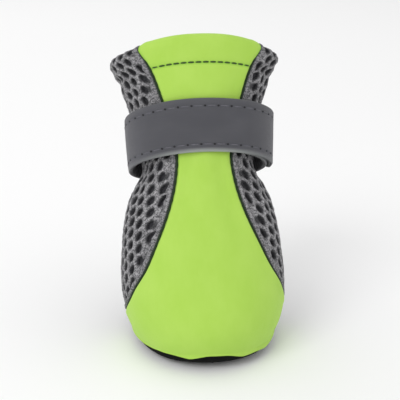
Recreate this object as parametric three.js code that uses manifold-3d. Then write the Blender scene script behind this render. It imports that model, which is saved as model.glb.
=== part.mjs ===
// A soft ankle boot for a dog: a hollow sewn upper, a thin cupped rubber sole, an insole and an ankle strap.
// Millimetres, +Z up, toe towards -Y. The lugs stand on z = 0 and the origin is under the middle of the boot.

import * as THREE from "three";
import { mergeVertices } from "three/addons/utils/BufferGeometryUtils.js";
import Module from "manifold-3d";

const wasm = await Module();
wasm.setup();

// Driving dimensions of the last
const FOOT_LENGTH = 64; // toe tip to heel, at the widest of the bulge over the sole
const BALL_WIDTH = 53.4; // across the bulge at the ball
const BOOT_HEIGHT = 98; // floor to the top of the collar's front
const COLLAR_BOW = 3.5; // how far the middle of the collar's front rises over its corners
const BOW_FROM = 10; // section from which that rise grows
const WALL = 2.4; // neoprene, and mesh with its backing
const GAP = 0.3; // between curved pieces that meet

// The sole
const LUG_HEIGHT = 0.8;
const PLATE = 1.8;
const RIM_TOP = 4.5; // where the sole's edge meets the upper
const RIM_WALL = 2.1;
const TOE_SPRING = { start: 13, rise: 2.4 }; // start is measured back from the toe tip
const HEEL_LIFT = { start: 57, rise: 0.9 };
const ARCH = { middle: 34, reach: 6.5, rise: 0.7 };
const LIFT_FADES_AT = 26; // height at which the upper no longer follows the sole's spring
const LUG = { first: 9.4, pitch: 5.9, count: 8, length: 3.7, margin: 5.4, sweep: 3.2, rake: 1, sunk: 0.9 };

// The insole
const INSOLE = { thickness: 2, margin: 3.4, taper: 1.6, round: 0.4 };

// The strap
const STRAP = { width: 16.6, thickness: 1.5, level: 10.1, droop: 0.7, gap: 0.4, standOff: 0.4, softEdge: 0.35 };
const LAP = { start: 0.1, end: 1.27, stepFrom: 1.03, stepTo: 1.1 }; // turns from the front towards +X

// How finely the curves are cut
const AROUND = 56;
const RINGS_PER_ROW = 2;
const STRAP_STEPS_PER_TURN = 66;
const SMALL_STEP = 0.01; // of a level or a turn, to find a slope

const ROUGH_CLOTH = 0.9;

// Sections of the upper's outside, from the seam at the sole up to the collar. A section is a tilted ring.
// frontY and backY are in shares of FOOT_LENGTH from the toe tip, frontZ and backZ in shares of BOOT_HEIGHT,
// halfWidth in shares of BALL_WIDTH. widest is how far back the ring is widest, and frontSquare and
// backSquare are the powers of the two half ovals: 2 is an ellipse, and more is squarer.
const COLUMNS = ["frontY", "frontZ", "backY", "backZ", "halfWidth", "widest", "frontSquare", "backSquare"];
const SECTIONS = [
  [0.032, 0.049, 0.962, 0.049, 0.436, 0.5, 2.0, 2.3], // seam with the sole
  [0.01, 0.082, 0.984, 0.082, 0.464, 0.5, 2.05, 2.3],
  [0.0, 0.125, 0.998, 0.118, 0.484, 0.5, 2.05, 2.3],
  [0.016, 0.178, 1.003, 0.16, 0.496, 0.49, 2.05, 2.3], // ball, over the toes
  [0.062, 0.237, 1.003, 0.205, 0.498, 0.48, 2.1, 2.25],
  [0.13, 0.304, 0.998, 0.255, 0.49, 0.47, 2.1, 2.2],
  [0.21, 0.378, 0.992, 0.308, 0.478, 0.46, 2.1, 2.2],
  [0.29, 0.46, 0.988, 0.362, 0.453, 0.46, 2.1, 2.15],
  [0.358, 0.546, 1.0, 0.42, 0.411, 0.47, 2.1, 2.1], // instep
  [0.41, 0.632, 1.028, 0.482, 0.381, 0.48, 2.1, 2.1],
  [0.45, 0.718, 1.068, 0.55, 0.385, 0.49, 2.1, 2.1], // ankle, under the strap
  [0.483, 0.8, 1.112, 0.622, 0.408, 0.49, 2.15, 2.1],
  [0.508, 0.866, 1.152, 0.688, 0.445, 0.49, 2.2, 2.15],
  [0.525, 0.912, 1.184, 0.742, 0.488, 0.49, 2.25, 2.15],
  [0.532, 0.943, 1.204, 0.783, 0.514, 0.49, 2.3, 2.2],
  [0.534, 0.964, 1.21, 0.813, 0.508, 0.49, 2.3, 2.2], // collar
];

// A smooth curve through four equally spaced values, read between the middle two.
function smooth(before, from, to, after, share) {
  const slopeFrom = (to - before) / 2;
  const slopeTo = (after - from) / 2;
  const bend = 3 * (to - from) - 2 * slopeFrom - slopeTo;
  const turn = 2 * (from - to) + slopeFrom + slopeTo;
  return from + share * (slopeFrom + share * (bend + share * turn));
}

// The section at a level, where a whole number is a row of the table, as an object of its named columns.
function sectionAt(level) {
  const last = SECTIONS.length - 1;
  const row = Math.min(Math.floor(level), last - 1);
  const at = (i) => SECTIONS[THREE.MathUtils.clamp(i, 0, last)];
  const values = COLUMNS.map((name, c) => [
    name,
    smooth(at(row - 1)[c], at(row)[c], at(row + 1)[c], at(row + 2)[c], level - row),
  ]);
  const s = Object.fromEntries(values);
  return {
    ...s,
    frontY: s.frontY * FOOT_LENGTH,
    backY: s.backY * FOOT_LENGTH,
    frontZ: s.frontZ * BOOT_HEIGHT,
    backZ: s.backZ * BOOT_HEIGHT,
    halfWidth: s.halfWidth * BALL_WIDTH,
  };
}

// How far the sole stands off the floor at a distance back from the toe tip: toe spring, arch and heel.
function lift(y) {
  const toe = Math.max(0, (TOE_SPRING.start - y) / TOE_SPRING.start);
  const heel = Math.max(0, (y - HEEL_LIFT.start) / (FOOT_LENGTH - HEEL_LIFT.start));
  const arch = Math.max(0, 1 - ((y - ARCH.middle) / ARCH.reach) ** 2);
  return TOE_SPRING.rise * toe ** 2 + HEEL_LIFT.rise * heel ** 2 + ARCH.rise * arch ** 2;
}

// A point on a section's ring. turn runs from 0 at the front, through 0.25 at +X and 0.5 at the back, to 1.
function ringPoint(section, turn) {
  const c = Math.cos(2 * Math.PI * turn);
  const s = Math.sin(2 * Math.PI * turn);
  const power = 2 / (c > 0 ? section.frontSquare : section.backSquare);
  const side = section.halfWidth * Math.sign(s) * Math.abs(s) ** power;
  const reach = Math.abs(c) ** power;
  const back = c > 0 ? section.widest * (1 - reach) : section.widest + (1 - section.widest) * reach;
  return new THREE.Vector3(
    side,
    THREE.MathUtils.lerp(section.frontY, section.backY, back),
    THREE.MathUtils.lerp(section.frontZ, section.backZ, back),
  );
}

// A point on the outside of the upper, with the sole's spring and arch fading out above it, and the front
// of the collar bowed up.
function outside(level, turn) {
  const p = ringPoint(sectionAt(level), turn);
  const fade = THREE.MathUtils.clamp(1 - (p.z - RIM_TOP) / (LIFT_FADES_AT - RIM_TOP), 0, 1);
  const bow = COLLAR_BOW * THREE.MathUtils.smoothstep(level, BOW_FROM, SECTIONS.length - 1);
  p.z += lift(p.y) * fade + bow * Math.max(0, Math.cos(2 * Math.PI * turn)) ** 3;
  return p;
}

// The slope up the upper's outside at a point, in mm a level, and the direction that faces out of it.
function directions(level, turn) {
  const top = Math.min(level + SMALL_STEP, SECTIONS.length - 1);
  const bottom = Math.max(level - SMALL_STEP, 0);
  const up = outside(top, turn).sub(outside(bottom, turn)).divideScalar(top - bottom);
  const around = outside(level, turn + SMALL_STEP).sub(outside(level, turn - SMALL_STEP));
  const out = new THREE.Vector3().crossVectors(around, up).normalize();
  return { up, out };
}

// A point on the inside, one wall in. At the collar and the seam the wall is cut square to its height.
function inside(level, turn) {
  const { out } = directions(level, turn);
  const atEdge = level === 0 || level === SECTIONS.length - 1;
  if (atEdge) {
    const s = sectionAt(level);
    const slope = Math.atan2(s.backZ - s.frontZ, s.backY - s.frontY);
    const cut = new THREE.Vector3(0, -Math.sin(slope), Math.cos(slope));
    out.addScaledVector(cut, -out.dot(cut)).normalize();
  }
  return outside(level, turn).addScaledVector(out, -WALL);
}

// A closed surface through rings of points, each ring with the same number. Rings are joined in order, and
// the last to the first when they close on themselves; otherwise each end ring is filled from its middle.
function throughRings(rings, closed) {
  const size = rings[0].length;
  const points = rings.flat();
  const faces = [];
  const bands = closed ? rings.length : rings.length - 1;
  for (let r = 0; r < bands; r++) {
    const next = (r + 1) % rings.length;
    for (let i = 0; i < size; i++) {
      const j = (i + 1) % size;
      faces.push(r * size + i, r * size + j, next * size + j);
      faces.push(r * size + i, next * size + j, next * size + i);
    }
  }
  if (!closed) {
    for (const [r, opens] of [[0, true], [rings.length - 1, false]]) {
      const middle = points.length;
      const sum = rings[r].reduce((total, p) => total.add(p), new THREE.Vector3());
      points.push(sum.divideScalar(size));
      for (let i = 0; i < size; i++) {
        const j = (i + 1) % size;
        const pair = opens ? [j, i] : [i, j];
        faces.push(middle, r * size + pair[0], r * size + pair[1]);
      }
    }
  }
  const geometry = new THREE.BufferGeometry().setFromPoints(points);
  geometry.setIndex(faces);
  return geometry;
}

// One turn's worth of points from a function of the turn.
function ring(pointAt) {
  return Array.from({ length: AROUND }, (_, i) => pointAt(i / AROUND));
}

function solidOf(geometry) {
  const bare = geometry.clone();
  bare.deleteAttribute("normal");
  bare.deleteAttribute("uv");
  const merged = mergeVertices(bare, 1e-4);
  return new wasm.Manifold(
    new wasm.Mesh({
      numProp: 3,
      vertProperties: merged.attributes.position.array,
      triVerts: new Uint32Array(merged.index.array),
    }),
  );
}

function geometryOf(solid) {
  const mesh = solid.getMesh();
  const geometry = new THREE.BufferGeometry();
  geometry.setAttribute("position", new THREE.BufferAttribute(mesh.vertProperties, mesh.numProp));
  geometry.setIndex(new THREE.BufferAttribute(mesh.triVerts, 1));
  return geometry;
}

// The upper: one wall, up the outside from the seam, over the collar and down the inside.
function upperGeometry() {
  const count = (SECTIONS.length - 1) * RINGS_PER_ROW;
  const levels = Array.from({ length: count + 1 }, (_, i) => i / RINGS_PER_ROW);
  const rings = levels.map((level) => ring((turn) => outside(level, turn)));
  const lining = levels.reverse().map((level) => ring((turn) => inside(level, turn)));
  return throughRings([...rings, ...lining], true);
}

// The sole's plan at a distance in from the seam line, shrunk towards its middle by a share, at a height.
function solePoint(margin, share, z, turn) {
  const seam = sectionAt(0);
  const plan = {
    ...seam,
    frontY: seam.frontY + margin,
    backY: seam.backY - margin,
    halfWidth: seam.halfWidth - margin,
    frontZ: z,
    backZ: z,
  };
  const p = ringPoint(plan, turn);
  const middle = THREE.MathUtils.lerp(seam.frontY, seam.backY, seam.widest);
  p.set(p.x * share, THREE.MathUtils.lerp(middle, p.y, share), p.z);
  p.z += lift(p.y);
  return p;
}

// Sections of the cup, from the middle of its underside, round the rim, to the middle of its floor.
const CUP_COLUMNS = ["margin", "share", "height"];
const CUP = [
  [5, 0.3, LUG_HEIGHT],
  [5, 0.6, LUG_HEIGHT],
  [5, 0.85, LUG_HEIGHT],
  [4.2, 1, LUG_HEIGHT],
  [2.2, 1, 1.25],
  [0.9, 1, 2.1],
  [0.2, 1, 3.2],
  [0, 1, RIM_TOP],
  [RIM_WALL, 1, RIM_TOP],
  [RIM_WALL + 0.3, 1, 3.6],
  [RIM_WALL + 1.1, 1, LUG_HEIGHT + PLATE],
  [5, 0.85, LUG_HEIGHT + PLATE],
  [5, 0.6, LUG_HEIGHT + PLATE],
  [5, 0.3, LUG_HEIGHT + PLATE],
];

function planRings(columns, rows) {
  const at = (name) => columns.indexOf(name);
  return rows.map((row) =>
    ring((turn) => solePoint(row[at("margin")], row[at("share")], row[at("height")], turn)),
  );
}

// Half the sole's width at a distance back from the toe tip, on the seam line.
function halfWidthAt(y) {
  const seam = sectionAt(0);
  const middle = THREE.MathUtils.lerp(seam.frontY, seam.backY, seam.widest);
  const ahead = y < middle;
  const share = ahead ? (middle - y) / (middle - seam.frontY) : (y - middle) / (seam.backY - middle);
  const power = ahead ? seam.frontSquare : seam.backSquare;
  return seam.halfWidth * Math.max(0, 1 - share ** power) ** (1 / power);
}

// One chevron lug, pointing to the toe, sunk into the plate above it and bent with the toe spring.
function lugGeometry(y) {
  const tip = y + LUG.length / 2;
  const reach = Math.min(halfWidthAt(tip - LUG.sweep / 2), halfWidthAt(tip + LUG.sweep)) - LUG.margin;
  const plan = new THREE.Shape([
    new THREE.Vector2(0, y - LUG.length / 2),
    new THREE.Vector2(reach, y - LUG.length / 2 + LUG.sweep),
    new THREE.Vector2(reach - LUG.rake, y + LUG.length / 2 + LUG.sweep),
    new THREE.Vector2(0, y + LUG.length / 2),
    new THREE.Vector2(LUG.rake - reach, y + LUG.length / 2 + LUG.sweep),
    new THREE.Vector2(-reach, y - LUG.length / 2 + LUG.sweep),
  ]);
  const block = new THREE.ExtrudeGeometry(plan, { depth: LUG_HEIGHT + LUG.sunk, bevelEnabled: false });
  const places = block.attributes.position;
  for (let i = 0; i < places.count; i++) {
    places.setZ(i, places.getZ(i) + lift(places.getY(i)));
  }
  return block;
}

function soleGeometry() {
  let solid = solidOf(throughRings(planRings(CUP_COLUMNS, CUP), false));
  for (let i = 0; i < LUG.count; i++) {
    solid = solid.add(solidOf(lugGeometry(LUG.first + i * LUG.pitch)));
  }
  return geometryOf(solid);
}

// The insole: a sheet that lies on the sole's floor, its edge tapered to the cup.
function insoleGeometry() {
  const floor = LUG_HEIGHT + PLATE + GAP;
  const top = floor + INSOLE.thickness;
  const flat = INSOLE.margin + INSOLE.taper;
  const rows = [
    [flat, 0.3, floor],
    [flat, 0.6, floor],
    [flat, 0.85, floor],
    [flat, 1, floor],
    [INSOLE.margin, 1, top - INSOLE.round],
    [INSOLE.margin + INSOLE.round, 1, top],
    [flat, 0.85, top],
    [flat, 0.6, top],
    [flat, 0.3, top],
  ];
  return throughRings(planRings(CUP_COLUMNS, rows), false);
}

// How far the strap's inner face stands off the upper at a number of turns: it bows out at the sides, and
// from the lap on it lies over its own first layer.
function strapStandOff(turns) {
  const atSide = Math.sin(2 * Math.PI * turns) ** 2;
  const climbed = THREE.MathUtils.smoothstep(turns, LAP.stepFrom, LAP.stepTo);
  return STRAP.gap + STRAP.standOff * atSide + climbed * (STRAP.thickness + GAP);
}

// The strap lies lower behind the ankle than in front of it.
function strapLevel(turns) {
  return STRAP.level - STRAP.droop * Math.sin(Math.PI * turns) ** 2;
}

// One section across the strap, square to its run, with its two long edges rounded.
function strapSection(turns) {
  const level = strapLevel(turns);
  const half = STRAP.width / 2;
  const soft = STRAP.softEdge;
  const { up, out } = directions(level, turns);
  const reach = half / up.length();
  const low = outside(level - reach, turns);
  const high = outside(level + reach, turns);
  const across = high.clone().sub(low).normalize();
  out.addScaledVector(across, -out.dot(across)).normalize();
  const middle = low.add(high).divideScalar(2);
  const corners = [
    [-half + soft, 0],
    [half - soft, 0],
    [half, soft],
    [half, STRAP.thickness - soft],
    [half - soft, STRAP.thickness],
    [-half + soft, STRAP.thickness],
    [-half, STRAP.thickness - soft],
    [-half, soft],
  ];
  const base = strapStandOff(turns);
  return corners.map(([side, through]) =>
    middle.clone().addScaledVector(across, side).addScaledVector(out, base + through),
  );
}

function strapGeometry() {
  const count = Math.round((LAP.end - LAP.start) * STRAP_STEPS_PER_TURN);
  const rings = Array.from({ length: count + 1 }, (_, i) =>
    strapSection(THREE.MathUtils.lerp(LAP.start, LAP.end, i / count)),
  );
  return throughRings(rings, false);
}

function named(name, geometry, colour, roughness) {
  const material = new THREE.MeshStandardMaterial({ color: colour, roughness, metalness: 0 });
  const mesh = new THREE.Mesh(geometry, material);
  mesh.name = name;
  return mesh;
}

function upper() {
  return named("upper", upperGeometry(), 0x9fd84e, ROUGH_CLOTH);
}

function sole() {
  return named("sole", soleGeometry(), 0x17171a, 0.7);
}

function insole() {
  return named("insole", insoleGeometry(), 0x2b2c30, ROUGH_CLOTH);
}

function strap() {
  return named("strap", strapGeometry(), 0x55555c, 0.5);
}

const boot = new THREE.Group();
boot.add(upper(), sole(), insole(), strap());
const bounds = new THREE.Box3().setFromObject(boot);
boot.position.y = -(bounds.min.y + bounds.max.y) / 2;

export default boot;
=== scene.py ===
"""A soft ankle boot for a dog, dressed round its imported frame.

The boot is a lime neoprene front panel and grey air-mesh sides sewn into one shell, a thin black rubber
sole, a footbed and a dark grey reflective strap. Lengths inside the classes are millimetres and become
metres only when a mesh is made. Levels count the rows of the last's section table from the sole up, and
turns run round the boot: 0 at the front, 0.25 at +X, 0.5 at the back.
"""

from __future__ import annotations

import logging
import math
from dataclasses import dataclass, field
from enum import Enum
from typing import Callable, Sequence

import bpy
import numpy as np
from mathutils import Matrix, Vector

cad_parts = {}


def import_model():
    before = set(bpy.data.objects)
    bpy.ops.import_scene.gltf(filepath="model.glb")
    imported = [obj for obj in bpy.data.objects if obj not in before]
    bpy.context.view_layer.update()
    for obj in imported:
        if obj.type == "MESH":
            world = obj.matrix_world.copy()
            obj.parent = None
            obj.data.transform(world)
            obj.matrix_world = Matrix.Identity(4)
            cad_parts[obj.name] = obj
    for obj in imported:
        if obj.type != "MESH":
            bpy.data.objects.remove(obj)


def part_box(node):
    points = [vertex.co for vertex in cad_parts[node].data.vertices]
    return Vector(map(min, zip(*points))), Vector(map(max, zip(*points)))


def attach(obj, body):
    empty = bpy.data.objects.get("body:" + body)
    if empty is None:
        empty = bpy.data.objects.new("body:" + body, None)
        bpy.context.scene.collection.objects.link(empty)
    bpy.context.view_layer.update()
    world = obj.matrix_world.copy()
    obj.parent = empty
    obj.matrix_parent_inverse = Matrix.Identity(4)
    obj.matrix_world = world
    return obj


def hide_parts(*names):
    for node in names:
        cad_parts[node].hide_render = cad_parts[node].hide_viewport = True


LOG = logging.getLogger("dog_boot")
MM = 0.001
BODY = "root"

Array = np.ndarray


# ---------------------------------------------------------------------------------------------------------
# Shader maths
# ---------------------------------------------------------------------------------------------------------


class Wire:
    """A shader socket that adds, subtracts and multiplies as a number does."""

    def __init__(self, shader: Shader, socket: bpy.types.NodeSocket) -> None:
        """Keep the socket and the shader that owns it."""
        self.shader = shader
        self.socket = socket

    def _math(self, operation: str, *values: Wire | float) -> Wire:
        """Add a Math node over this wire and others."""
        return self.shader.node("ShaderNodeMath", {"operation": operation}, values)

    def __add__(self, other: Wire | float) -> Wire:
        """Return the sum."""
        return self._math("ADD", self, other)

    __radd__ = __add__

    def __sub__(self, other: Wire | float) -> Wire:
        """Return the difference."""
        return self._math("SUBTRACT", self, other)

    def __rsub__(self, other: float) -> Wire:
        """Return a number less this wire."""
        return self._math("SUBTRACT", other, self)

    def __mul__(self, other: Wire | float) -> Wire:
        """Return the product."""
        return self._math("MULTIPLY", self, other)

    __rmul__ = __mul__

    def sine(self) -> Wire:
        """Return the sine of this wire, in radians."""
        return self._math("SINE", self)

    def within(self, low: float, high: float) -> Wire:
        """Return 0 below low, 1 above high and a smooth rise between.

        Args:
            low: where the rise starts.
            high: where it ends.

        Returns:
            The new wire.
        """
        values = {"Value": self, "From Min": low, "From Max": high}
        settings = {"interpolation_type": "SMOOTHSTEP"}
        return self.shader.node("ShaderNodeMapRange", settings, values)


class Shader:
    """One material, written as expressions over its nodes."""

    def __init__(self, name: str, roughness: float, **sockets: float | Sequence[float]) -> None:
        """Start a material with one Principled shader.

        Args:
            name: the material's name.
            roughness: its usual roughness.
            sockets: values for other sockets of the shader, with underscores for spaces.
        """
        self.material = bpy.data.materials.new(name)
        self.material.use_nodes = True
        self.tree = self.material.node_tree
        self.tree.nodes.clear()
        self.surface = self.tree.nodes.new("ShaderNodeBsdfPrincipled")
        output = self.tree.nodes.new("ShaderNodeOutputMaterial")
        self.tree.links.new(self.surface.outputs["BSDF"], output.inputs["Surface"])
        self.surface.inputs["Roughness"].default_value = roughness
        for key, value in sockets.items():
            self.surface.inputs[key.replace("_", " ")].default_value = value

    def node(
        self,
        kind: str,
        settings: dict[str, object] | None = None,
        values: dict[str, object] | Sequence[object] = (),
        output: int | str = 0,
    ) -> Wire:
        """Add any node.

        Args:
            kind: the node's type.
            settings: properties set before its sockets.
            values: numbers, colours or wires for its sockets, by name or in order.
            output: which output to return.

        Returns:
            The output as a wire.
        """
        made = self.tree.nodes.new(kind)
        for key, value in (settings or {}).items():
            setattr(made, key, value)
        pairs = values.items() if isinstance(values, dict) else enumerate(values)
        for key, value in pairs:
            if isinstance(value, Wire):
                self.tree.links.new(value.socket, made.inputs[key])
            else:
                made.inputs[key].default_value = value
        return Wire(self, made.outputs[output])

    def place(self) -> Wire:
        """Return the point on the object, in metres."""
        return self.node("ShaderNodeTexCoord", output="Object")

    def flat(self) -> Wire:
        """Return the point on the piece's own cloth, in centimetres along it and up it."""
        return self.node("ShaderNodeTexCoord", output="UV")

    def stretched(self, point: Wire, scale: Sequence[float]) -> Wire:
        """Return a point scaled on each axis, for a texture to read."""
        return self.node("ShaderNodeMapping", {}, {"Vector": point, "Scale": tuple(scale)})

    def split(self, vector: Wire) -> tuple[Wire, Wire, Wire]:
        """Return a vector's three parts.

        Args:
            vector: the vector.

        Returns:
            Its X, Y and Z.
        """
        first = self.node("ShaderNodeSeparateXYZ", {}, [vector])
        node = first.socket.node
        return first, Wire(self, node.outputs[1]), Wire(self, node.outputs[2])

    def noise(self, point: Wire, scale: float, detail: float = 2.0, rough: float = 0.5) -> Wire:
        """Return soft noise from 0 to 1.

        Args:
            point: the coordinates.
            scale: how many blots there are in a unit.
            detail: how many finer layers it has.
            rough: how strong they are.
        """
        values = {"Vector": point, "Scale": scale, "Detail": detail, "Roughness": rough}
        return self.node("ShaderNodeTexNoise", {}, values)

    def cells(self, point: Wire, scale: float) -> Wire:
        """Return the distance to the nearest of scattered points."""
        return self.node("ShaderNodeTexVoronoi", {}, {"Vector": point, "Scale": scale})

    def painted(self, name: str) -> Wire:
        """Return a number stored on the piece's points."""
        return self.node("ShaderNodeAttribute", {"attribute_name": name}, output="Fac")

    def mixed(self, share: Wire | float, low: object, high: object) -> Wire:
        """Mix two colours.

        Args:
            share: 0 for the first and 1 for the second.
            low: the first colour.
            high: the second colour.

        Returns:
            The mixed colour.
        """
        made = self.tree.nodes.new("ShaderNodeMix")
        made.data_type = "RGBA"
        for key, value in ((0, share), (6, low), (7, high)):
            if isinstance(value, Wire):
                self.tree.links.new(value.socket, made.inputs[key])
            elif key == 0:
                made.inputs[key].default_value = value
            else:
                made.inputs[key].default_value = (*value, 1.0)
        return Wire(self, made.outputs[2])

    def set(self, name: str, value: Wire) -> None:
        """Feed one of the shader's sockets."""
        self.tree.links.new(value.socket, self.surface.inputs[name])

    def bump(self, *layers: tuple[Wire, float]) -> None:
        """Raise the surface.

        Args:
            layers: heights from 0 to 1, each with its depth in millimetres.
        """
        normal: Wire | None = None
        for height, depth in layers:
            values: dict[str, object] = {"Height": height, "Distance": depth * MM, "Strength": 1.0}
            if normal is not None:
                values["Normal"] = normal
            normal = self.node("ShaderNodeBump", {}, values)
        if normal is not None:
            self.set("Normal", normal)


# ---------------------------------------------------------------------------------------------------------
# Finishes
# ---------------------------------------------------------------------------------------------------------


@dataclass(frozen=True)
class Neoprene:
    """Lime jersey over foam: smooth, matt, with the faintest upright ribs and painted shade along its seams
    and its hem's stitches.
    """

    lime: tuple[float, float, float] = (0.4, 0.64, 0.085)
    bright: tuple[float, float, float] = (0.445, 0.68, 0.11)
    # darker lime, for the ribs and grain and for the painted shade along the seams and the hem's stitches
    deep: tuple[float, float, float] = (0.2, 0.47, 0.035)
    inside: tuple[float, float, float] = (0.03, 0.03, 0.033)

    def make(self) -> bpy.types.Material:
        """Build the material.

        Returns:
            The material.
        """
        s = Shader(
            "neoprene_jersey",
            0.8,
            Sheen_Weight=0.25,
            Sheen_Roughness=0.5,
            Sheen_Tint=(0.75, 1.0, 0.45, 1.0),
            Specular_IOR_Level=0.3,
        )
        cloth = s.flat()
        blots = s.noise(s.stretched(cloth, (1.0, 0.8, 1.0)), 1.1, 3.0, 0.55)
        ribs = s.noise(s.stretched(cloth, (16.0, 3.2, 1.0)), 1.0, 2.0, 0.6)
        grain = s.noise(cloth, 110.0, 2.0, 0.7)
        colour = s.mixed(blots.within(0.2, 0.85), self.lime, self.bright)
        streak = (ribs.within(0.35, 0.75) * 0.02) + (grain * 0.09)
        colour = s.mixed(streak, colour, self.deep)
        # painted shade beside the seams and along the hem's stitches, from the points' painted edge
        colour = s.mixed(s.painted("edge") * 0.8, colour, self.deep)
        colour = s.mixed(s.painted("under"), colour, self.inside)
        s.set("Base Color", colour)
        s.set("Roughness", grain * 0.16 + 0.72)
        s.bump((ribs, 0.02), (grain, 0.055))
        return s.material


@dataclass(frozen=True)
class AirMesh:
    """Grey spacer mesh: twisted yarn, light on the strands, with painted shade down the holes and beside the
    selvedge.
    """

    yarn: tuple[float, float, float] = (0.095, 0.094, 0.1)
    pale: tuple[float, float, float] = (0.56, 0.55, 0.57)
    shade_and_dark_tone: tuple[float, float, float] = (0.035, 0.035, 0.039)
    ply: float = 120.0  # radians in a centimetre, so that a ply is about half a millimetre

    def make(self, name: str = "air_mesh") -> bpy.types.Material:
        """Build the material.

        Args:
            name: the material's name.

        Returns:
            The material.
        """
        s = Shader(name, 0.75, Sheen_Weight=0.15, Sheen_Roughness=0.4, Specular_IOR_Level=0.3)
        cloth = s.flat()
        u, v, _ = s.split(cloth)
        wander = s.noise(cloth, 12.0, 2.0, 0.6) * 5.0
        rising = ((u * 0.5 + v) * self.ply + wander).sine() * 0.5 + 0.5
        falling = ((v - u * 0.5) * self.ply - wander).sine() * 0.5 + 0.5
        plies = rising * 0.5 + falling * 0.5
        fuzz = s.noise(cloth, 60.0, 3.0, 0.7)
        specks = s.noise(cloth, 15.0, 2.0, 0.75).within(0.38, 0.62)
        tone = s.noise(cloth, 1.4, 2.0, 0.5)
        light = (plies * 0.3 + specks * 0.6 + fuzz * 0.3).within(0.15, 0.95)
        colour = s.mixed(light, self.yarn, self.pale)
        colour = s.mixed(tone.within(0.35, 0.8) * 0.3, colour, self.shade_and_dark_tone)
        # painted shade down the holes, on the strands' shoulders and beside the selvedge, from the points'
        # painted depth
        colour = s.mixed(s.painted("depth").within(0.0, 0.95), colour, self.shade_and_dark_tone)
        s.set("Base Color", colour)
        s.set("Roughness", 0.85 - plies * 0.2)
        s.bump((plies, 0.18), (specks, 0.16), (fuzz, 0.12))
        return s.material


@dataclass(frozen=True)
class Lining:
    """Dark knitted backing, seen down the holes and inside the boot."""

    dark: tuple[float, float, float] = (0.022, 0.022, 0.025)
    light: tuple[float, float, float] = (0.055, 0.055, 0.062)

    def make(self) -> bpy.types.Material:
        """Build the material.

        Returns:
            The material.
        """
        s = Shader("knitted_backing", 0.92, Sheen_Weight=0.1, Specular_IOR_Level=0.2)
        place = s.place()
        knit = s.cells(place, 1500.0)
        tone = s.noise(place, 160.0, 2.0, 0.5)
        s.set("Base Color", s.mixed(knit * 0.8 + tone * 0.3, self.dark, self.light))
        s.set("Roughness", 0.98 - knit * 0.1)
        s.bump((knit, 0.15), (tone, 0.2))
        return s.material


@dataclass(frozen=True)
class ReflectiveTape:
    """Dark grey tape of fine glass beads, with paler cut edges and a painted highlight along the lower edge
    in front.
    """

    face: tuple[float, float, float] = (0.058, 0.058, 0.07)
    worn: tuple[float, float, float] = (0.085, 0.085, 0.098)
    # the pale cut edge, which also carries the painted highlight along the lower edge in front
    edge: tuple[float, float, float] = (0.33, 0.35, 0.34)

    def make(self) -> bpy.types.Material:
        """Build the material.

        Returns:
            The material.
        """
        s = Shader("reflective_tape", 0.46, Specular_IOR_Level=0.55, Coat_Roughness=0.35)
        cloth = s.flat()
        beads = s.noise(cloth, 160.0, 2.0, 0.6)
        weave = s.node("ShaderNodeTexBrick", {"offset": 0.5}, {
            "Vector": cloth,
            "Scale": 40.0,
            "Mortar Size": 0.03,
            "Color1": (1.0, 1.0, 1.0, 1.0),
            "Color2": (0.8, 0.8, 0.8, 1.0),
            "Mortar": (0.0, 0.0, 0.0, 1.0),
        }, "Fac")
        clouds = s.noise(s.stretched(cloth, (0.6, 1.4, 1.0)), 1.3, 3.0, 0.5)
        colour = s.mixed(clouds.within(0.3, 0.8) * 0.55 + beads * 0.2, self.face, self.worn)
        # pale cut edges all round, and a painted highlight along the lower edge in front
        colour = s.mixed(s.painted("edge"), colour, self.edge)
        s.set("Base Color", colour)
        s.set("Roughness", clouds * 0.16 + beads * 0.1 + 0.36)
        s.bump((beads, 0.025), (weave, -0.02))
        return s.material


@dataclass(frozen=True)
class Pile:
    """Looped pile on the back of the strap."""

    dark: tuple[float, float, float] = (0.018, 0.018, 0.021)
    light: tuple[float, float, float] = (0.06, 0.06, 0.068)

    def make(self) -> bpy.types.Material:
        """Build the material.

        Returns:
            The material.
        """
        s = Shader("strap_pile", 0.95, Sheen_Weight=0.3, Sheen_Roughness=0.5, Specular_IOR_Level=0.2)
        place = s.place()
        loops = s.cells(place, 1300.0)
        clumps = s.noise(place, 420.0, 3.0, 0.6)
        s.set("Base Color", s.mixed(loops * 0.7 + clumps * 0.4, self.dark, self.light))
        s.bump((loops, 0.3), (clumps, 0.2))
        return s.material


@dataclass(frozen=True)
class Rubber:
    """Black moulded rubber, a little dusty where it meets the floor."""

    black: tuple[float, float, float] = (0.004, 0.004, 0.0045)
    dust: tuple[float, float, float] = (0.014, 0.0135, 0.013)

    def make(self) -> bpy.types.Material:
        """Build the material.

        Returns:
            The material.
        """
        s = Shader("moulded_rubber", 0.72, Specular_IOR_Level=0.07)
        place = s.place()
        grain = s.noise(place, 2600.0, 2.0, 0.6)
        patches = s.noise(place, 120.0, 4.0, 0.6)
        colour = s.mixed(patches.within(0.5, 0.85) * 0.5 + grain * 0.12, self.black, self.dust)
        s.set("Base Color", colour)
        s.set("Roughness", patches * 0.25 + 0.6)
        s.bump((grain, 0.06), (patches, 0.12))
        return s.material


@dataclass(frozen=True)
class Footbed:
    """Dark brushed lining over thin foam."""

    dark: tuple[float, float, float] = (0.02, 0.02, 0.023)
    light: tuple[float, float, float] = (0.062, 0.062, 0.07)

    def make(self) -> bpy.types.Material:
        """Build the material.

        Returns:
            The material.
        """
        s = Shader("brushed_footbed", 0.95, Sheen_Weight=0.3, Specular_IOR_Level=0.2)
        place = s.place()
        nap = s.noise(s.stretched(place, (1.0, 0.35, 1.0)), 1900.0, 3.0, 0.7)
        tone = s.noise(place, 90.0, 2.0, 0.5)
        s.set("Base Color", s.mixed(nap * 0.6 + tone * 0.4, self.dark, self.light))
        s.bump((nap, 0.2))
        return s.material


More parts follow.
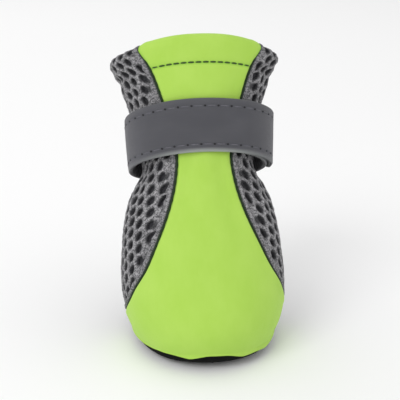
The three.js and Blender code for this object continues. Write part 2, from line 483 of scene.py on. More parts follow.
class Twist(Enum):
    """The colours of sewing thread on the boot, and the painted shade in the strap's needle holes."""

    HEM = (0.025, 0.055, 0.01)
    SEAM = (0.006, 0.02, 0.004)
    STRAP = (0.095, 0.095, 0.11)
    NEEDLE_HOLE_SHADE = (0.012, 0.012, 0.014)


@dataclass(frozen=True)
class Thread:
    """Spun thread with a fine slanting twist."""

    twist: Twist

    def make(self) -> bpy.types.Material:
        """Build the material.

        Returns:
            The material.
        """
        s = Shader("thread_" + self.twist.name.lower(), 0.7, Specular_IOR_Level=0.35)
        place = s.place()
        plies = s.noise(s.stretched(place, (1.0, 1.0, 2.2)), 3800.0, 2.0, 0.5)
        base = self.twist.value
        light = tuple(min(1.0, 1.7 * c + 0.01) for c in base)
        s.set("Base Color", s.mixed(plies.within(0.3, 0.8), base, light))
        s.bump((plies, 0.06))
        return s.material


@dataclass(frozen=True)
class StudioFloor:
    """Plain pale floor."""

    pale: tuple[float, float, float] = (0.96, 0.96, 0.96)

    def make(self) -> bpy.types.Material:
        """Build the material.

        Returns:
            The material.
        """
        s = Shader("studio_floor", 0.9, Specular_IOR_Level=0.1)
        tone = s.noise(s.place(), 3.0, 2.0, 0.5)
        cool = tuple(0.985 * c for c in self.pale)
        s.set("Base Color", s.mixed(tone, self.pale, cool))
        return s.material


# ---------------------------------------------------------------------------------------------------------
# Meshes
# ---------------------------------------------------------------------------------------------------------


def deselect_all() -> None:
    """Leave edit mode and select nothing."""
    if bpy.context.object is not None and bpy.context.object.mode != "OBJECT":
        bpy.ops.object.mode_set(mode="OBJECT")
    bpy.ops.object.select_all(action="DESELECT")


def select_only(piece: bpy.types.Object) -> None:
    """Select one object and make it active.

    Args:
        piece: the object.
    """
    deselect_all()
    piece.select_set(True)
    bpy.context.view_layer.objects.active = piece


def finished(piece: bpy.types.Object, angle: float = 60.0, weld: float = 0.002) -> bpy.types.Object:
    """Weld a piece's doubles, turn its faces outwards and smooth it.

    Args:
        piece: the mesh object.
        angle: edges sharper than this many degrees stay sharp.
        weld: points nearer than this many millimetres become one.

    Returns:
        The same object.
    """
    select_only(piece)
    bpy.ops.object.mode_set(mode="EDIT")
    bpy.ops.mesh.select_all(action="SELECT")
    bpy.ops.mesh.remove_doubles(threshold=weld * MM)
    bpy.ops.mesh.dissolve_degenerate(threshold=0.2 * weld * MM)
    bpy.ops.mesh.normals_make_consistent(inside=False)
    bpy.ops.object.mode_set(mode="OBJECT")
    bpy.ops.object.shade_smooth_by_angle(angle=math.radians(angle))
    deselect_all()
    return piece


def mesh_piece(
    name: str,
    points: Array,
    faces: Array | Sequence[Sequence[int]],
    flat: Array | None = None,
    painted: dict[str, Array] | None = None,
) -> bpy.types.Object:
    """Make a mesh object from points in millimetres.

    Args:
        name: the piece's name.
        points: an (n, 3) array.
        faces: the corners of each face.
        flat: an (n, 2) array of places on the cloth, in millimetres, kept as the UV map in centimetres.
        painted: numbers from 0 to 1 for each point, by name.

    Returns:
        The object, linked to the scene.
    """
    mesh = bpy.data.meshes.new(name)
    mesh.from_pydata((np.asarray(points) * MM).tolist(), [], [list(map(int, f)) for f in faces])
    if flat is not None:
        corners = np.zeros(len(mesh.loops), np.int32)
        mesh.loops.foreach_get("vertex_index", corners)
        layer = mesh.uv_layers.new(name="cloth")
        layer.data.foreach_set("uv", (np.asarray(flat)[corners] / 10).astype(np.float32).ravel())
    for key, values in (painted or {}).items():
        store = mesh.attributes.new(key, "FLOAT", "POINT")
        store.data.foreach_set("value", np.asarray(values, np.float32).ravel())
    mesh.update()
    piece = bpy.data.objects.new(name, mesh)
    bpy.context.scene.collection.objects.link(piece)
    return piece


def grid_faces(rows: int, columns: int, start: int = 0, wrap: bool = False, flip: bool = False) -> Array:
    """Return the quads of a grid of points stored row by row.

    Args:
        rows: how many rows of points.
        columns: how many points in a row.
        start: the first point's index.
        wrap: join the last column to the first.
        flip: turn the faces round.

    Returns:
        The corners of each quad.
    """
    i, j = np.meshgrid(np.arange(rows - 1), np.arange(columns if wrap else columns - 1), indexing="ij")
    k = (j + 1) % columns
    quads = np.stack([i * columns + j, i * columns + k, (i + 1) * columns + k, (i + 1) * columns + j], -1)
    quads = quads.reshape(-1, 4) + start
    return quads[:, ::-1] if flip else quads


def shell_piece(
    name: str,
    outer: Array,
    inner: Array,
    wrap: bool = False,
    flat: Array | None = None,
    painted: dict[str, tuple[Array, Array]] | None = None,
) -> bpy.types.Object:
    """Make a closed wall between two grids of points.

    Args:
        name: the piece's name.
        outer: a (rows, columns, 3) array in millimetres.
        inner: the same, for the far side.
        wrap: the columns close on themselves.
        flat: a (rows, columns, 2) array of places on the cloth.
        painted: for each name, a number for each point of the outer and of the inner grid.

    Returns:
        The object.
    """
    rows, columns = outer.shape[:2]
    half = rows * columns
    faces = [grid_faces(rows, columns, 0, wrap), grid_faces(rows, columns, half, wrap, True)]
    index = np.arange(half).reshape(rows, columns)
    borders = [index[0], index[-1]]
    if not wrap:
        borders += [index[:, 0], index[:, -1]]
    for line in borders:
        ends = np.roll(line, -1) if wrap else line[1:]
        begins = line if wrap else line[:-1]
        faces.append(np.stack([begins, ends, ends + half, begins + half], -1))
    points = np.concatenate([outer.reshape(-1, 3), inner.reshape(-1, 3)])
    both = None if flat is None else np.concatenate([flat.reshape(-1, 2)] * 2)
    values = {
        key: np.concatenate([np.ravel(a), np.ravel(b)]) for key, (a, b) in (painted or {}).items()
    }
    return finished(mesh_piece(name, points, np.concatenate(faces), both, values))


def tube_points(path: Array, radius: Array | float, sides: int, outward: Array, squash: float = 1.0) -> Array:
    """Return rings of points round a path.

    Args:
        path: an (n, 3) array.
        radius: the tube's radius, one number or one for each point.
        sides: points in a ring.
        outward: an (n, 3) array of directions, one for each point.
        squash: the ring's height along outward, in shares of its width.

    Returns:
        An (n, sides, 3) array.
    """
    ahead = np.gradient(path, axis=0)
    ahead /= np.linalg.norm(ahead, axis=1, keepdims=True)
    up = outward - (outward * ahead).sum(1, keepdims=True) * ahead
    up /= np.linalg.norm(up, axis=1, keepdims=True)
    side = np.cross(ahead, up)
    angle = np.linspace(0, 2 * np.pi, sides, endpoint=False)
    width = np.broadcast_to(np.asarray(radius, float), (len(path),))[:, None, None]
    ring = np.cos(angle)[None, :, None] * side[:, None] + squash * np.sin(angle)[None, :, None] * up[:, None]
    return path[:, None] + width * ring


def smooth(low: float, high: float, value: Array | float) -> Array:
    """Return 0 below low, 1 above high and a smooth rise between."""
    share = np.clip((np.asarray(value, float) - low) / (high - low), 0, 1)
    return share * share * (3 - 2 * share)


def bell(distance: Array | float, width: float) -> Array:
    """Return 1 at no distance, falling softly to 0 past the width."""
    return np.exp(-((np.asarray(distance, float) / width) ** 2))


def curve_through(rows: Array, level: Array) -> Array:
    """Return values at levels, along smooth curves through a table's rows.

    Args:
        rows: the table, one row for each whole level, with or without columns.
        level: the levels.

    Returns:
        The values.
    """
    last = len(rows) - 1
    level = np.clip(np.asarray(level, float), 0, last)
    row = np.clip(np.floor(level).astype(int), 0, last - 1)
    share = (level - row).reshape(level.shape + (1,) * (rows.ndim - 1))
    before, here, there, after = (rows[np.clip(row + i, 0, last)] for i in (-1, 0, 1, 2))
    slope_here, slope_there = (there - before) / 2, (after - here) / 2
    bend = 3 * (there - here) - 2 * slope_here - slope_there
    twist = 2 * (here - there) + slope_here + slope_there
    return here + share * (slope_here + share * (bend + share * twist))


def way_along(line: Array) -> Array:
    """Return the distance from a line's start to each of its points."""
    return np.concatenate([[0], np.cumsum(np.linalg.norm(np.diff(line, axis=0), axis=1))])


def ringed_solid(name: str, rings: Array, angle: float) -> bpy.types.Object:
    """Make a closed solid from a stack of rings, with its first and last rings filled.

    Args:
        name: the piece's name.
        rings: a (rows, columns, 3) array.
        angle: edges sharper than this many degrees stay sharp.

    Returns:
        The object.
    """
    rows, columns = rings.shape[:2]
    faces = grid_faces(rows, columns, 0, True).tolist()
    faces.append(list(range(columns)))
    faces.append([(rows - 1) * columns + j for j in range(columns)][::-1])
    return finished(mesh_piece(name, rings.reshape(-1, 3), faces), angle=angle)


# ---------------------------------------------------------------------------------------------------------
# The last
# ---------------------------------------------------------------------------------------------------------


@dataclass(frozen=True)
class Crease:
    """A soft trough in the cloth, or a ridge where its depth is negative."""

    start: tuple[float, float]  # level and turn
    end: tuple[float, float]
    width: float
    depth: float


@dataclass
class Last:
    """The shape that the upper is sewn to, as smooth tilted rings."""

    foot_length: float = 64.0
    ball_width: float = 53.4
    boot_height: float = 98.0
    collar_bow: float = 3.5
    bow_from: float = 10.0
    rim_top: float = 4.5
    lift_fades_at: float = 26.0
    toe_spring: tuple[float, float] = (13.0, 2.4)
    heel_lift: tuple[float, float] = (57.0, 0.9)
    arch: tuple[float, float, float] = (34.0, 6.5, 0.7)
    around: float = 150.0  # the usual way round, for measuring creases
    level_height: float = 6.2
    level_steps: int = 150  # steps up and round in the measured tables
    way_steps: int = 360
    way_step: float = 0.25
    turn_steps: int = 180
    tuck: float = 0.9  # how far the mesh's lower edge draws in under the lip of the sole
    cinch: float = 2.1  # how far the strap draws the mesh in just below itself
    cinch_behind: float = 0.5  # and how much of that it does at the back
    cinch_level: float = 9.1
    strap_droop: float = 0.7
    hem_pinch: float = 0.75  # how far the hem's stitches draw the mesh in
    hem_level: float = 12.67
    hem_roll: float = 0.25  # how far the mesh stands out above them
    hem_roll_level: float = 14.3
    # front y and z, back y and z, half width, how far back it is widest, the powers of front and back
    rows: Array = field(default_factory=lambda: np.array([
        [0.032, 0.049, 0.962, 0.049, 0.436, 0.5, 2.0, 2.3],
        [0.01, 0.082, 0.984, 0.082, 0.464, 0.5, 2.05, 2.3],
        [0.0, 0.125, 0.998, 0.118, 0.484, 0.5, 2.05, 2.3],
        [0.016, 0.178, 1.003, 0.16, 0.496, 0.49, 2.05, 2.3],
        [0.062, 0.237, 1.003, 0.205, 0.498, 0.48, 2.1, 2.25],
        [0.13, 0.304, 0.998, 0.255, 0.49, 0.47, 2.1, 2.2],
        [0.21, 0.378, 0.992, 0.308, 0.478, 0.46, 2.1, 2.2],
        [0.29, 0.46, 0.988, 0.362, 0.453, 0.46, 2.1, 2.15],
        [0.358, 0.546, 1.0, 0.42, 0.411, 0.47, 2.1, 2.1],
        [0.41, 0.632, 1.028, 0.482, 0.381, 0.48, 2.1, 2.1],
        [0.45, 0.718, 1.068, 0.55, 0.385, 0.49, 2.1, 2.1],
        [0.483, 0.8, 1.112, 0.622, 0.408, 0.49, 2.15, 2.1],
        [0.508, 0.866, 1.152, 0.688, 0.445, 0.49, 2.2, 2.15],
        [0.525, 0.912, 1.184, 0.742, 0.488, 0.49, 2.25, 2.15],
        [0.532, 0.943, 1.204, 0.783, 0.514, 0.49, 2.3, 2.2],
        [0.534, 0.964, 1.21, 0.813, 0.508, 0.49, 2.3, 2.2],
    ]))
    creases: tuple[Crease, ...] = (
        Crease((9.0, 0.03), (6.4, 0.055), 3.2, 0.32),  # from under the strap over the instep
        Crease((9.0, -0.035), (6.8, -0.05), 3.0, 0.26),
        Crease((8.9, 0.0), (7.6, 0.002), 4.0, -0.22),
        Crease((11.3, 0.185), (13.2, 0.175), 2.4, 0.55),  # gathers above the strap
        Crease((11.3, 0.235), (13.6, 0.24), 2.2, 0.6),
        Crease((11.3, 0.31), (13.4, 0.3), 2.4, 0.5),
        Crease((11.3, -0.19), (13.4, -0.18), 2.4, 0.5),
        Crease((11.3, -0.245), (13.4, -0.25), 2.2, 0.6),
        Crease((11.3, -0.33), (13.4, -0.32), 2.4, 0.5),
        Crease((11.3, 0.42), (13.2, 0.41), 2.6, 0.45),
        Crease((11.3, -0.44), (13.2, -0.43), 2.6, 0.45),
        Crease((8.8, 0.2), (7.0, 0.185), 2.6, 0.5),  # gathers below it
        Crease((8.8, -0.2), (6.8, -0.19), 2.6, 0.5),
        Crease((8.8, 0.32), (7.2, 0.33), 2.6, 0.45),
        Crease((8.8, -0.33), (7.2, -0.34), 2.6, 0.45),
        Crease((5.2, 0.42), (5.0, 0.5), 3.0, 0.5),  # across the heel
        Crease((5.0, 0.5), (5.3, 0.58), 3.0, 0.5),
        Crease((7.4, 0.44), (7.2, 0.56), 3.2, 0.55),
        Crease((3.4, -0.12), (1.6, -0.1), 5.0, 0.35),  # slack beside the toe
        Crease((3.2, 0.1), (1.6, 0.12), 5.0, 0.25),
    )
    toe_y: float = 0.0

    def __post_init__(self) -> None:
        """Turn the table's shares into millimetres and measure the way up and round."""
        length, height, width = self.foot_length, self.boot_height, self.ball_width
        self.table = self.rows * np.array([length, height, length, height, width, 1, 1, 1])
        self.top = float(len(self.rows) - 1)
        self.toe_y = 1000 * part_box("upper")[0].y - self.point(np.array([2.0]), np.array([0.0]))[0, 1]
        self._levels = np.linspace(0, self.top, self.level_steps + 1)
        side = self.point(self._levels, np.full(self.level_steps + 1, 0.25))
        self._heights = way_along(side)
        self._distances = np.linspace(0, self.way_steps * self.way_step, self.way_steps + 1)
        offsets = np.linspace(0, 0.5, self.turn_steps + 1)
        inverse = []
        for level in self._levels:
            line = self.point(np.full(len(offsets), level), 0.5 - offsets)
            far = way_along(line)
            inverse.append(np.interp(self._distances, far, offsets))
        self._inverse = np.array(inverse)

    def lift(self, y: Array) -> Array:
        """Return how far the sole stands off the floor, by the distance back from the toe tip.

        Args:
            y: distances back from the toe tip.

        Returns:
            Heights in millimetres.
        """
        toe = np.maximum(0, (self.toe_spring[0] - y) / self.toe_spring[0])
        heel = np.maximum(0, (y - self.heel_lift[0]) / (self.foot_length - self.heel_lift[0]))
        arch = np.maximum(0, 1 - ((y - self.arch[0]) / self.arch[1]) ** 2)
        return self.toe_spring[1] * toe**2 + self.heel_lift[1] * heel**2 + self.arch[2] * arch**2

    def ring(self, section: Array, turn: Array) -> Array:
        """Return points on rings, given their sections, with y back from the toe tip.

        Args:
            section: one row of the table for each point.
            turn: the turns.

        Returns:
            Points, with y back from the toe tip.
        """
        front_y, front_z, back_y, back_z, half, widest, front_power, back_power = np.moveaxis(section, -1, 0)
        c, s = np.cos(2 * np.pi * turn), np.sin(2 * np.pi * turn)
        power = 2 / np.where(c > 0, front_power, back_power)
        reach = np.abs(c) ** power
        back = np.where(c > 0, widest * (1 - reach), widest + (1 - widest) * reach)
        x = half * np.sign(s) * np.abs(s) ** power
        return np.stack([x, front_y + (back_y - front_y) * back, front_z + (back_z - front_z) * back], -1)

    def point(self, level: Array, turn: Array) -> Array:
        """Return points on the outside of the upper, in the frame.

        Args:
            level: the levels on the last.
            turn: the turns round it.

        Returns:
            Points in the frame.
        """
        level, turn = np.broadcast_arrays(np.asarray(level, float), np.asarray(turn, float))
        p = self.ring(curve_through(self.table, level), turn)
        fade = np.clip(1 - (p[..., 2] - self.rim_top) / (self.lift_fades_at - self.rim_top), 0, 1)
        bow = self.collar_bow * smooth(self.bow_from, self.top, level)
        p[..., 2] += self.lift(p[..., 1]) * fade + bow * np.maximum(0, np.cos(2 * np.pi * turn)) ** 3
        p[..., 1] += self.toe_y
        return p

    def directions(self, level: Array, turn: Array) -> tuple[Array, Array]:
        """Return the unit directions up the upper and out of it.

        Args:
            level: the levels on the last.
            turn: the turns round it.

        Returns:
            Unit vectors up and out.
        """
        step = 0.01
        level, turn = np.broadcast_arrays(np.asarray(level, float), np.asarray(turn, float))
        up = self.point(np.minimum(level + step, self.top), turn)
        up = up - self.point(np.maximum(level - step, 0), turn)
        around = self.point(level, turn + step) - self.point(level, turn - step)
        out = np.cross(around, up)
        up /= np.linalg.norm(up, axis=-1, keepdims=True)
        out /= np.linalg.norm(out, axis=-1, keepdims=True)
        return up, out

    def slack(self, level: Array, turn: Array) -> Array:
        """Return how deep the creases are at points, in millimetres.

        Args:
            level: the levels on the last.
            turn: the turns round it.

        Returns:
            Depths in millimetres.
        """
        turn = (turn + 0.5) % 1 - 0.5
        at_side = np.sin(2 * np.pi * turn) ** 2
        behind = np.sin(np.pi * turn) ** 2
        depth = self.tuck * (1 - smooth(0, 0.6, level)) * smooth(0.235, 0.3, np.abs(turn))
        under_strap = level - (self.cinch_level - self.strap_droop * behind)
        depth += self.cinch * at_side * bell(under_strap, 0.75)
        depth += self.cinch_behind * behind * bell(under_strap, 0.8)
        on_mesh = smooth(0.1, 0.16, np.abs(turn))
        depth += on_mesh * self.hem_pinch * bell(level - self.hem_level, 0.28)
        depth -= on_mesh * self.hem_roll * bell(level - self.hem_roll_level, 0.5)
        for crease in self.creases:
            for whole in (-1, 0, 1):
                a = np.array([crease.start[0] * self.level_height, (crease.start[1] + whole) * self.around])
                b = np.array([crease.end[0] * self.level_height, (crease.end[1] + whole) * self.around])
                p = np.stack(np.broadcast_arrays(level * self.level_height, turn * self.around), -1) - a
                run = b - a
                share = np.clip((p @ run) / (run @ run), 0, 1)
                away = np.linalg.norm(p - share[..., None] * run, axis=-1)
                depth += crease.depth * bell(away, crease.width)
        return depth

    def at(self, level: Array, turn: Array, depth: Array | float = 0.0) -> Array:
        """Return points a depth in from the upper's creased outside.

        Args:
            level: the levels on the last.
            turn: the turns round it.
            depth: how far in each point lies.

        Returns:
            Points in the frame.
        """
        level, turn = np.broadcast_arrays(np.asarray(level, float), np.asarray(turn, float))
        _, out = self.directions(level, turn)
        deep = np.asarray(depth, float) + self.slack(level, turn)
        return self.point(level, turn) - out * deep[..., None]

    def level_at(self, height: Array) -> Array:
        """Return the level at a height up the side of the upper."""
        return np.interp(height, self._heights, self._levels)

    def height_at(self, level: Array | float) -> Array:
        """Return the height up the side of the upper at a level."""
        return np.interp(level, self._levels, self._heights)

    def turn_at(self, level: Array, distance: Array) -> Array:
        """Return the turn at a signed distance round from the back, + towards +X.

        Args:
            level: the levels.
            distance: distances round from the back, + towards +X.

        Returns:
            The turns.
        """
        i = np.clip(level / self.top * self.level_steps, 0, self.level_steps - 0.001)
        j = np.clip(np.abs(distance) / self.way_step, 0, self.way_steps - 0.001)
        i0, j0 = np.floor(i).astype(int), np.floor(j).astype(int)
        fi, fj = i - i0, j - j0
        g = self._inverse
        near = g[i0, j0] * (1 - fi) + g[i0 + 1, j0] * fi
        far = g[i0, j0 + 1] * (1 - fi) + g[i0 + 1, j0 + 1] * fi
        return 0.5 - np.sign(distance) * (near * (1 - fj) + far * fj)

    def distance_at(self, level: Array, turn: Array) -> Array:
        """Return the distance round from the back to a turn from 0 to 0.5.

        Args:
            level: the levels.
            turn: the turns.

        Returns:
            The distances.
        """
        levels, turns = np.broadcast_arrays(np.asarray(level, float), np.asarray(turn, float))
        rows = np.clip(np.rint(levels / self.top * self.level_steps).astype(int), 0, self.level_steps)
        offsets = np.minimum(0.5 - turns.ravel(), 0.4998)
        far = [np.interp(t, self._inverse[r], self._distances) for r, t in zip(rows.ravel(), offsets)]
        return np.array(far).reshape(levels.shape)


@dataclass
class Pattern:
    """Where the cloths meet: the seam beside the front panel, the hem and the fold over the collar."""

    last: Last
    # the seam's turn at each level of the last, from the sole up to the collar
    seam: tuple[float, ...] = (
        0.268, 0.25, 0.223, 0.193, 0.165, 0.132, 0.106, 0.083, 0.07, 0.0675, 0.077, 0.091, 0.099, 0.104,
        0.1115, 0.1215,
    )
    fold_radius: float = 1.5
    hem: float = 8.0

    def __post_init__(self) -> None:
        """Work out the level where the cloth starts to turn over the collar."""
        self.top_height = float(self.last.height_at(self.last.top)) - self.fold_radius
        self.fold_height = math.pi * self.fold_radius

    def seam_turn(self, level: Array) -> Array:
        """Return the seam's turn at a level."""
        return curve_through(np.array(self.seam), level)

    def folded(self, height: Array) -> tuple[Array, Array]:
        """Return the level and the fold's angle, 0 outside and pi inside, at a height along the cloth.

        Args:
            height: heights along the cloth.

        Returns:
            The levels and the angles.
        """
        past = height - self.top_height
        angle = np.clip(past / self.fold_radius, 0, math.pi)
        back_down = np.maximum(0, past - self.fold_height)
        level = self.last.level_at(np.minimum(height, self.top_height) - back_down)
        return level, angle

    def cloth(self, level: Array, turn: Array, angle: Array, depth: Array) -> Array:
        """Return points in the thickness of a cloth that folds over the collar.

        Args:
            level: the level on the last.
            turn: the turn.
            angle: the angle of the fold.
            depth: how deep in the cloth, from its face.

        Returns:
            Points in the frame.
        """
        up, out = self.last.directions(level, turn)
        centre = self.last.at(level, turn, self.fold_radius)
        reach = (self.fold_radius - depth)[..., None]
        return centre + reach * (np.cos(angle)[..., None] * out + np.sin(angle)[..., None] * up)

    def facing(self, level: Array, turn: Array, angle: Array) -> Array:
        """Return the direction out of a folded cloth's face."""
        up, out = self.last.directions(level, turn)
        return np.cos(angle)[..., None] * out + np.sin(angle)[..., None] * up

    def beside_seam(
        self, heights: Array, side: int, offset: float, depth: Array | float
    ) -> tuple[Array, Array]:
        """Return a line along the seam and the direction out at each of its points.

        Args:
            heights: the heights along the cloth.
            side: 1 for the seam at +X and -1 for the other.
            offset: how far on the mesh's side of the seam the line runs.
            depth: how deep it lies.

        Returns:
            The points and the directions.
        """
        level, angle = self.folded(heights)
        turn = self.seam_turn(level)
        step = 0.002
        run = self.last.point(level, turn + step) - self.last.point(level, turn - step)
        turn = side * (turn + offset * 2 * step / np.linalg.norm(run, axis=-1))
        deep = np.broadcast_to(np.asarray(depth, float), turn.shape)
        return self.cloth(level, turn, angle, deep), self.facing(level, turn, angle)

    @property
    def end_height(self) -> float:
        """Return the height along the cloth where it ends inside the collar."""
        return self.top_height + self.fold_height + self.hem


# ---------------------------------------------------------------------------------------------------------
# The upper
# ---------------------------------------------------------------------------------------------------------


@dataclass
class FrontPanel:
    """The neoprene over the toe, the instep and the front of the shaft."""

    pattern: Pattern
    thickness: float = 1.25
    row_step: float = 0.8
    columns: int = 73
    puff: float = 0.3
    edge_roll: float = 1.2
    edge_depth: float = 0.6
    edge_swell: float = 0.12  # the ridge beside the seam
    hem_thickness: float = 0.12
    hem_line: float = 6.6  # below where the fold starts
    hem_groove: float = 0.34
    over_sole: float = 0.22
    # turn and how far the panel's lower edge hangs over the sole there
    skirt: tuple[tuple[float, float], ...] = (
        (-0.27, 0.1), (-0.22, 0.9), (-0.17, 0.7), (-0.125, 0.2), (-0.085, 0.5), (-0.05, 1.5), (-0.015, 0.5),
        (0.03, 0.7), (0.06, 1.7), (0.1, 1.2), (0.13, 1.7), (0.2, 1.1), (0.27, 0.1),
    )
    stitch_pitch: float = 2.3
    stitch_length: float = 2.2
    thread_radius: float = 0.28
    thread_stands: float = 0.12  # how far the middle of the thread stands off the cloth
    track_steps: int = 400

    def _edge_distance(self, level: Array, share: Array) -> Array:
        """Return how far points are from the seam, in millimetres.

        Args:
            level: the levels.
            share: how far across the panel, from -1 to 1.

        Returns:
            The distances.
        """
        last, seam = self.pattern.last, self.pattern.seam_turn(level)
        step = 0.002
        run = last.point(level, share * seam + step) - last.point(level, share * seam - step)
        return np.linalg.norm(run, axis=-1) / (2 * step) * seam * (1 - np.abs(share))

    def panel(self) -> bpy.types.Object:
        """Build the panel as a closed shell, from the sole up, over the collar and down inside.

        Returns:
            The object.
        """
        p = self.pattern
        rows = int(p.end_height / self.row_step)
        heights = np.concatenate([np.linspace(-1, 0, 5)[:-1], np.linspace(0, p.end_height, rows)])
        rows = len(heights)
        spread = np.linspace(-1, 1, self.columns)
        share = np.broadcast_to(np.sin(spread * math.pi / 2) * 0.35 + spread * 0.65, (rows, self.columns))
        level, angle = p.folded(np.maximum(heights, 0))
        level = np.broadcast_to(level[:, None], share.shape)
        angle = np.broadcast_to(angle[:, None], share.shape)
        high = np.broadcast_to(heights[:, None], share.shape)
        away = self._edge_distance(level, share)
        turn = share * p.seam_turn(level)
        at_top = bell(high - p.top_height, 5.0)
        rolled = (1 - smooth(0, self.edge_roll, away)) * (1 - 0.85 * at_top)
        depth = -self.puff + (self.puff + self.edge_depth) * rolled - self.edge_swell * bell(away - 2.2, 1.0)
        line = p.top_height - self.hem_line
        outside = 1 - smooth(p.top_height + 1.5, p.top_height + 4.0, high)
        depth = depth - self.hem_thickness * smooth(line - 0.5, line + 2.0, high) * outside * (1 - rolled)
        depth = depth + self.hem_groove * bell(high - line, 0.55) * (1 - rolled)
        depth = depth - self.over_sole * (1 - smooth(0, 3, high))
        inner = np.maximum(self.thickness, depth + 0.5)
        knots, lengths = np.array(self.skirt).T
        drop = np.zeros((*share.shape, 3))
        drop[..., 2] = np.minimum(high, 0) * np.interp(turn, knots, lengths)
        reach = p.last.distance_at(level[:, :1], np.zeros((rows, 1))) - p.last.distance_at(
            level[:, :1], p.seam_turn(level[:, :1])
        )
        flat = np.stack([share * reach, high], -1)
        under = np.ones(share.shape)
        # painted shade: darker within a millimetre of the seam, where the panel rolls into it, and along the
        # groove under the hem's stitches
        edge = np.clip(1 - away / 1.1, 0, 1) ** 2 + 0.9 * bell(high - line, 0.36)
        return shell_piece(
            "front_panel",
            p.cloth(level, turn, angle, depth) + drop,
            p.cloth(level, turn, angle, inner) + drop,
            flat=flat,
            painted={
                "edge": (np.clip(edge, 0, 1), under),
                "under": (np.zeros(share.shape), under),
            },
        )

    def hem_stitches(self) -> bpy.types.Object:
        """Build the row of stitches that holds the turned hem, across the panel.

        Returns:
            The object.
        """
        p = self.pattern
        line = p.top_height - self.hem_line
        level = float(p.last.level_at(np.array(line)))
        seam = float(p.seam_turn(np.array(level)))
        turns = np.linspace(-seam, seam, self.track_steps)
        levels = np.full(self.track_steps, level)
        reach = p.last.distance_at(levels, np.zeros(self.track_steps)) - p.last.distance_at(
            levels, np.full(self.track_steps, seam)
        )
        away = reach * (1 - np.abs(turns) / seam)
        sunk = 0.8 * (self.puff + self.edge_depth) * (1 - smooth(0, self.edge_roll, away))
        track = p.last.at(levels, turns, sunk - self.thread_stands)
        out = p.last.directions(levels, turns)[1]
        far = way_along(track)
        return stitches(
            "hem_stitches", track, out, far, self.stitch_pitch, self.stitch_length, self.thread_radius
        )

    def build(self) -> list[bpy.types.Object]:
        """Build and dress the panel and its stitches.

        Returns:
            The pieces.
        """
        panel, hem = self.panel(), self.hem_stitches()
        panel.data.materials.append(Neoprene().make())
        hem.data.materials.append(Thread(Twist.HEM).make())
        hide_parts("upper")
        return [panel, hem]


def stitches(
    name: str, track: Array, out: Array, far: Array, pitch: float, length: float, radius: float
) -> bpy.types.Object:
    """Make a row of short stitches that dip into the cloth at both ends.

    Args:
        name: the piece's name.
        track: an (n, 3) line that the stitches follow.
        out: the direction out of the cloth at each point.
        far: the distance along the line at each point.
        pitch: the distance from one stitch to the next.
        length: a stitch's length.
        radius: half the thread's thickness.

    Returns:
        The row as one object.
    """
    sides, steps = 6, 7
    points, faces = [], []
    count = int(far[-1] / pitch)
    start = (far[-1] - count * pitch) / 2
    for i in range(count):
        share = np.linspace(-0.5, 0.5, steps)
        place = start + (i + 0.5) * pitch + share * length
        line = np.stack([np.interp(place, far, track[:, k]) for k in range(3)], -1)
        up = np.stack([np.interp(place, far, out[:, k]) for k in range(3)], -1)
        up /= np.linalg.norm(up, axis=1, keepdims=True)
        line = line - up * (0.45 * (2 * np.abs(share)) ** 3)[:, None]
        width = radius * (1 - 0.3 * (2 * np.abs(share)) ** 4)
        rings = tube_points(line, width, sides, up, 0.8)
        begin = len(points) * steps * sides
        points.append(rings.reshape(-1, 3))
        faces += grid_faces(steps, sides, begin, True).tolist()
        faces += [[begin + j for j in range(sides)][::-1]]
        faces += [[begin + (steps - 1) * sides + j for j in range(sides)]]
    return finished(mesh_piece(name, np.concatenate(points), faces), weld=0.0005)


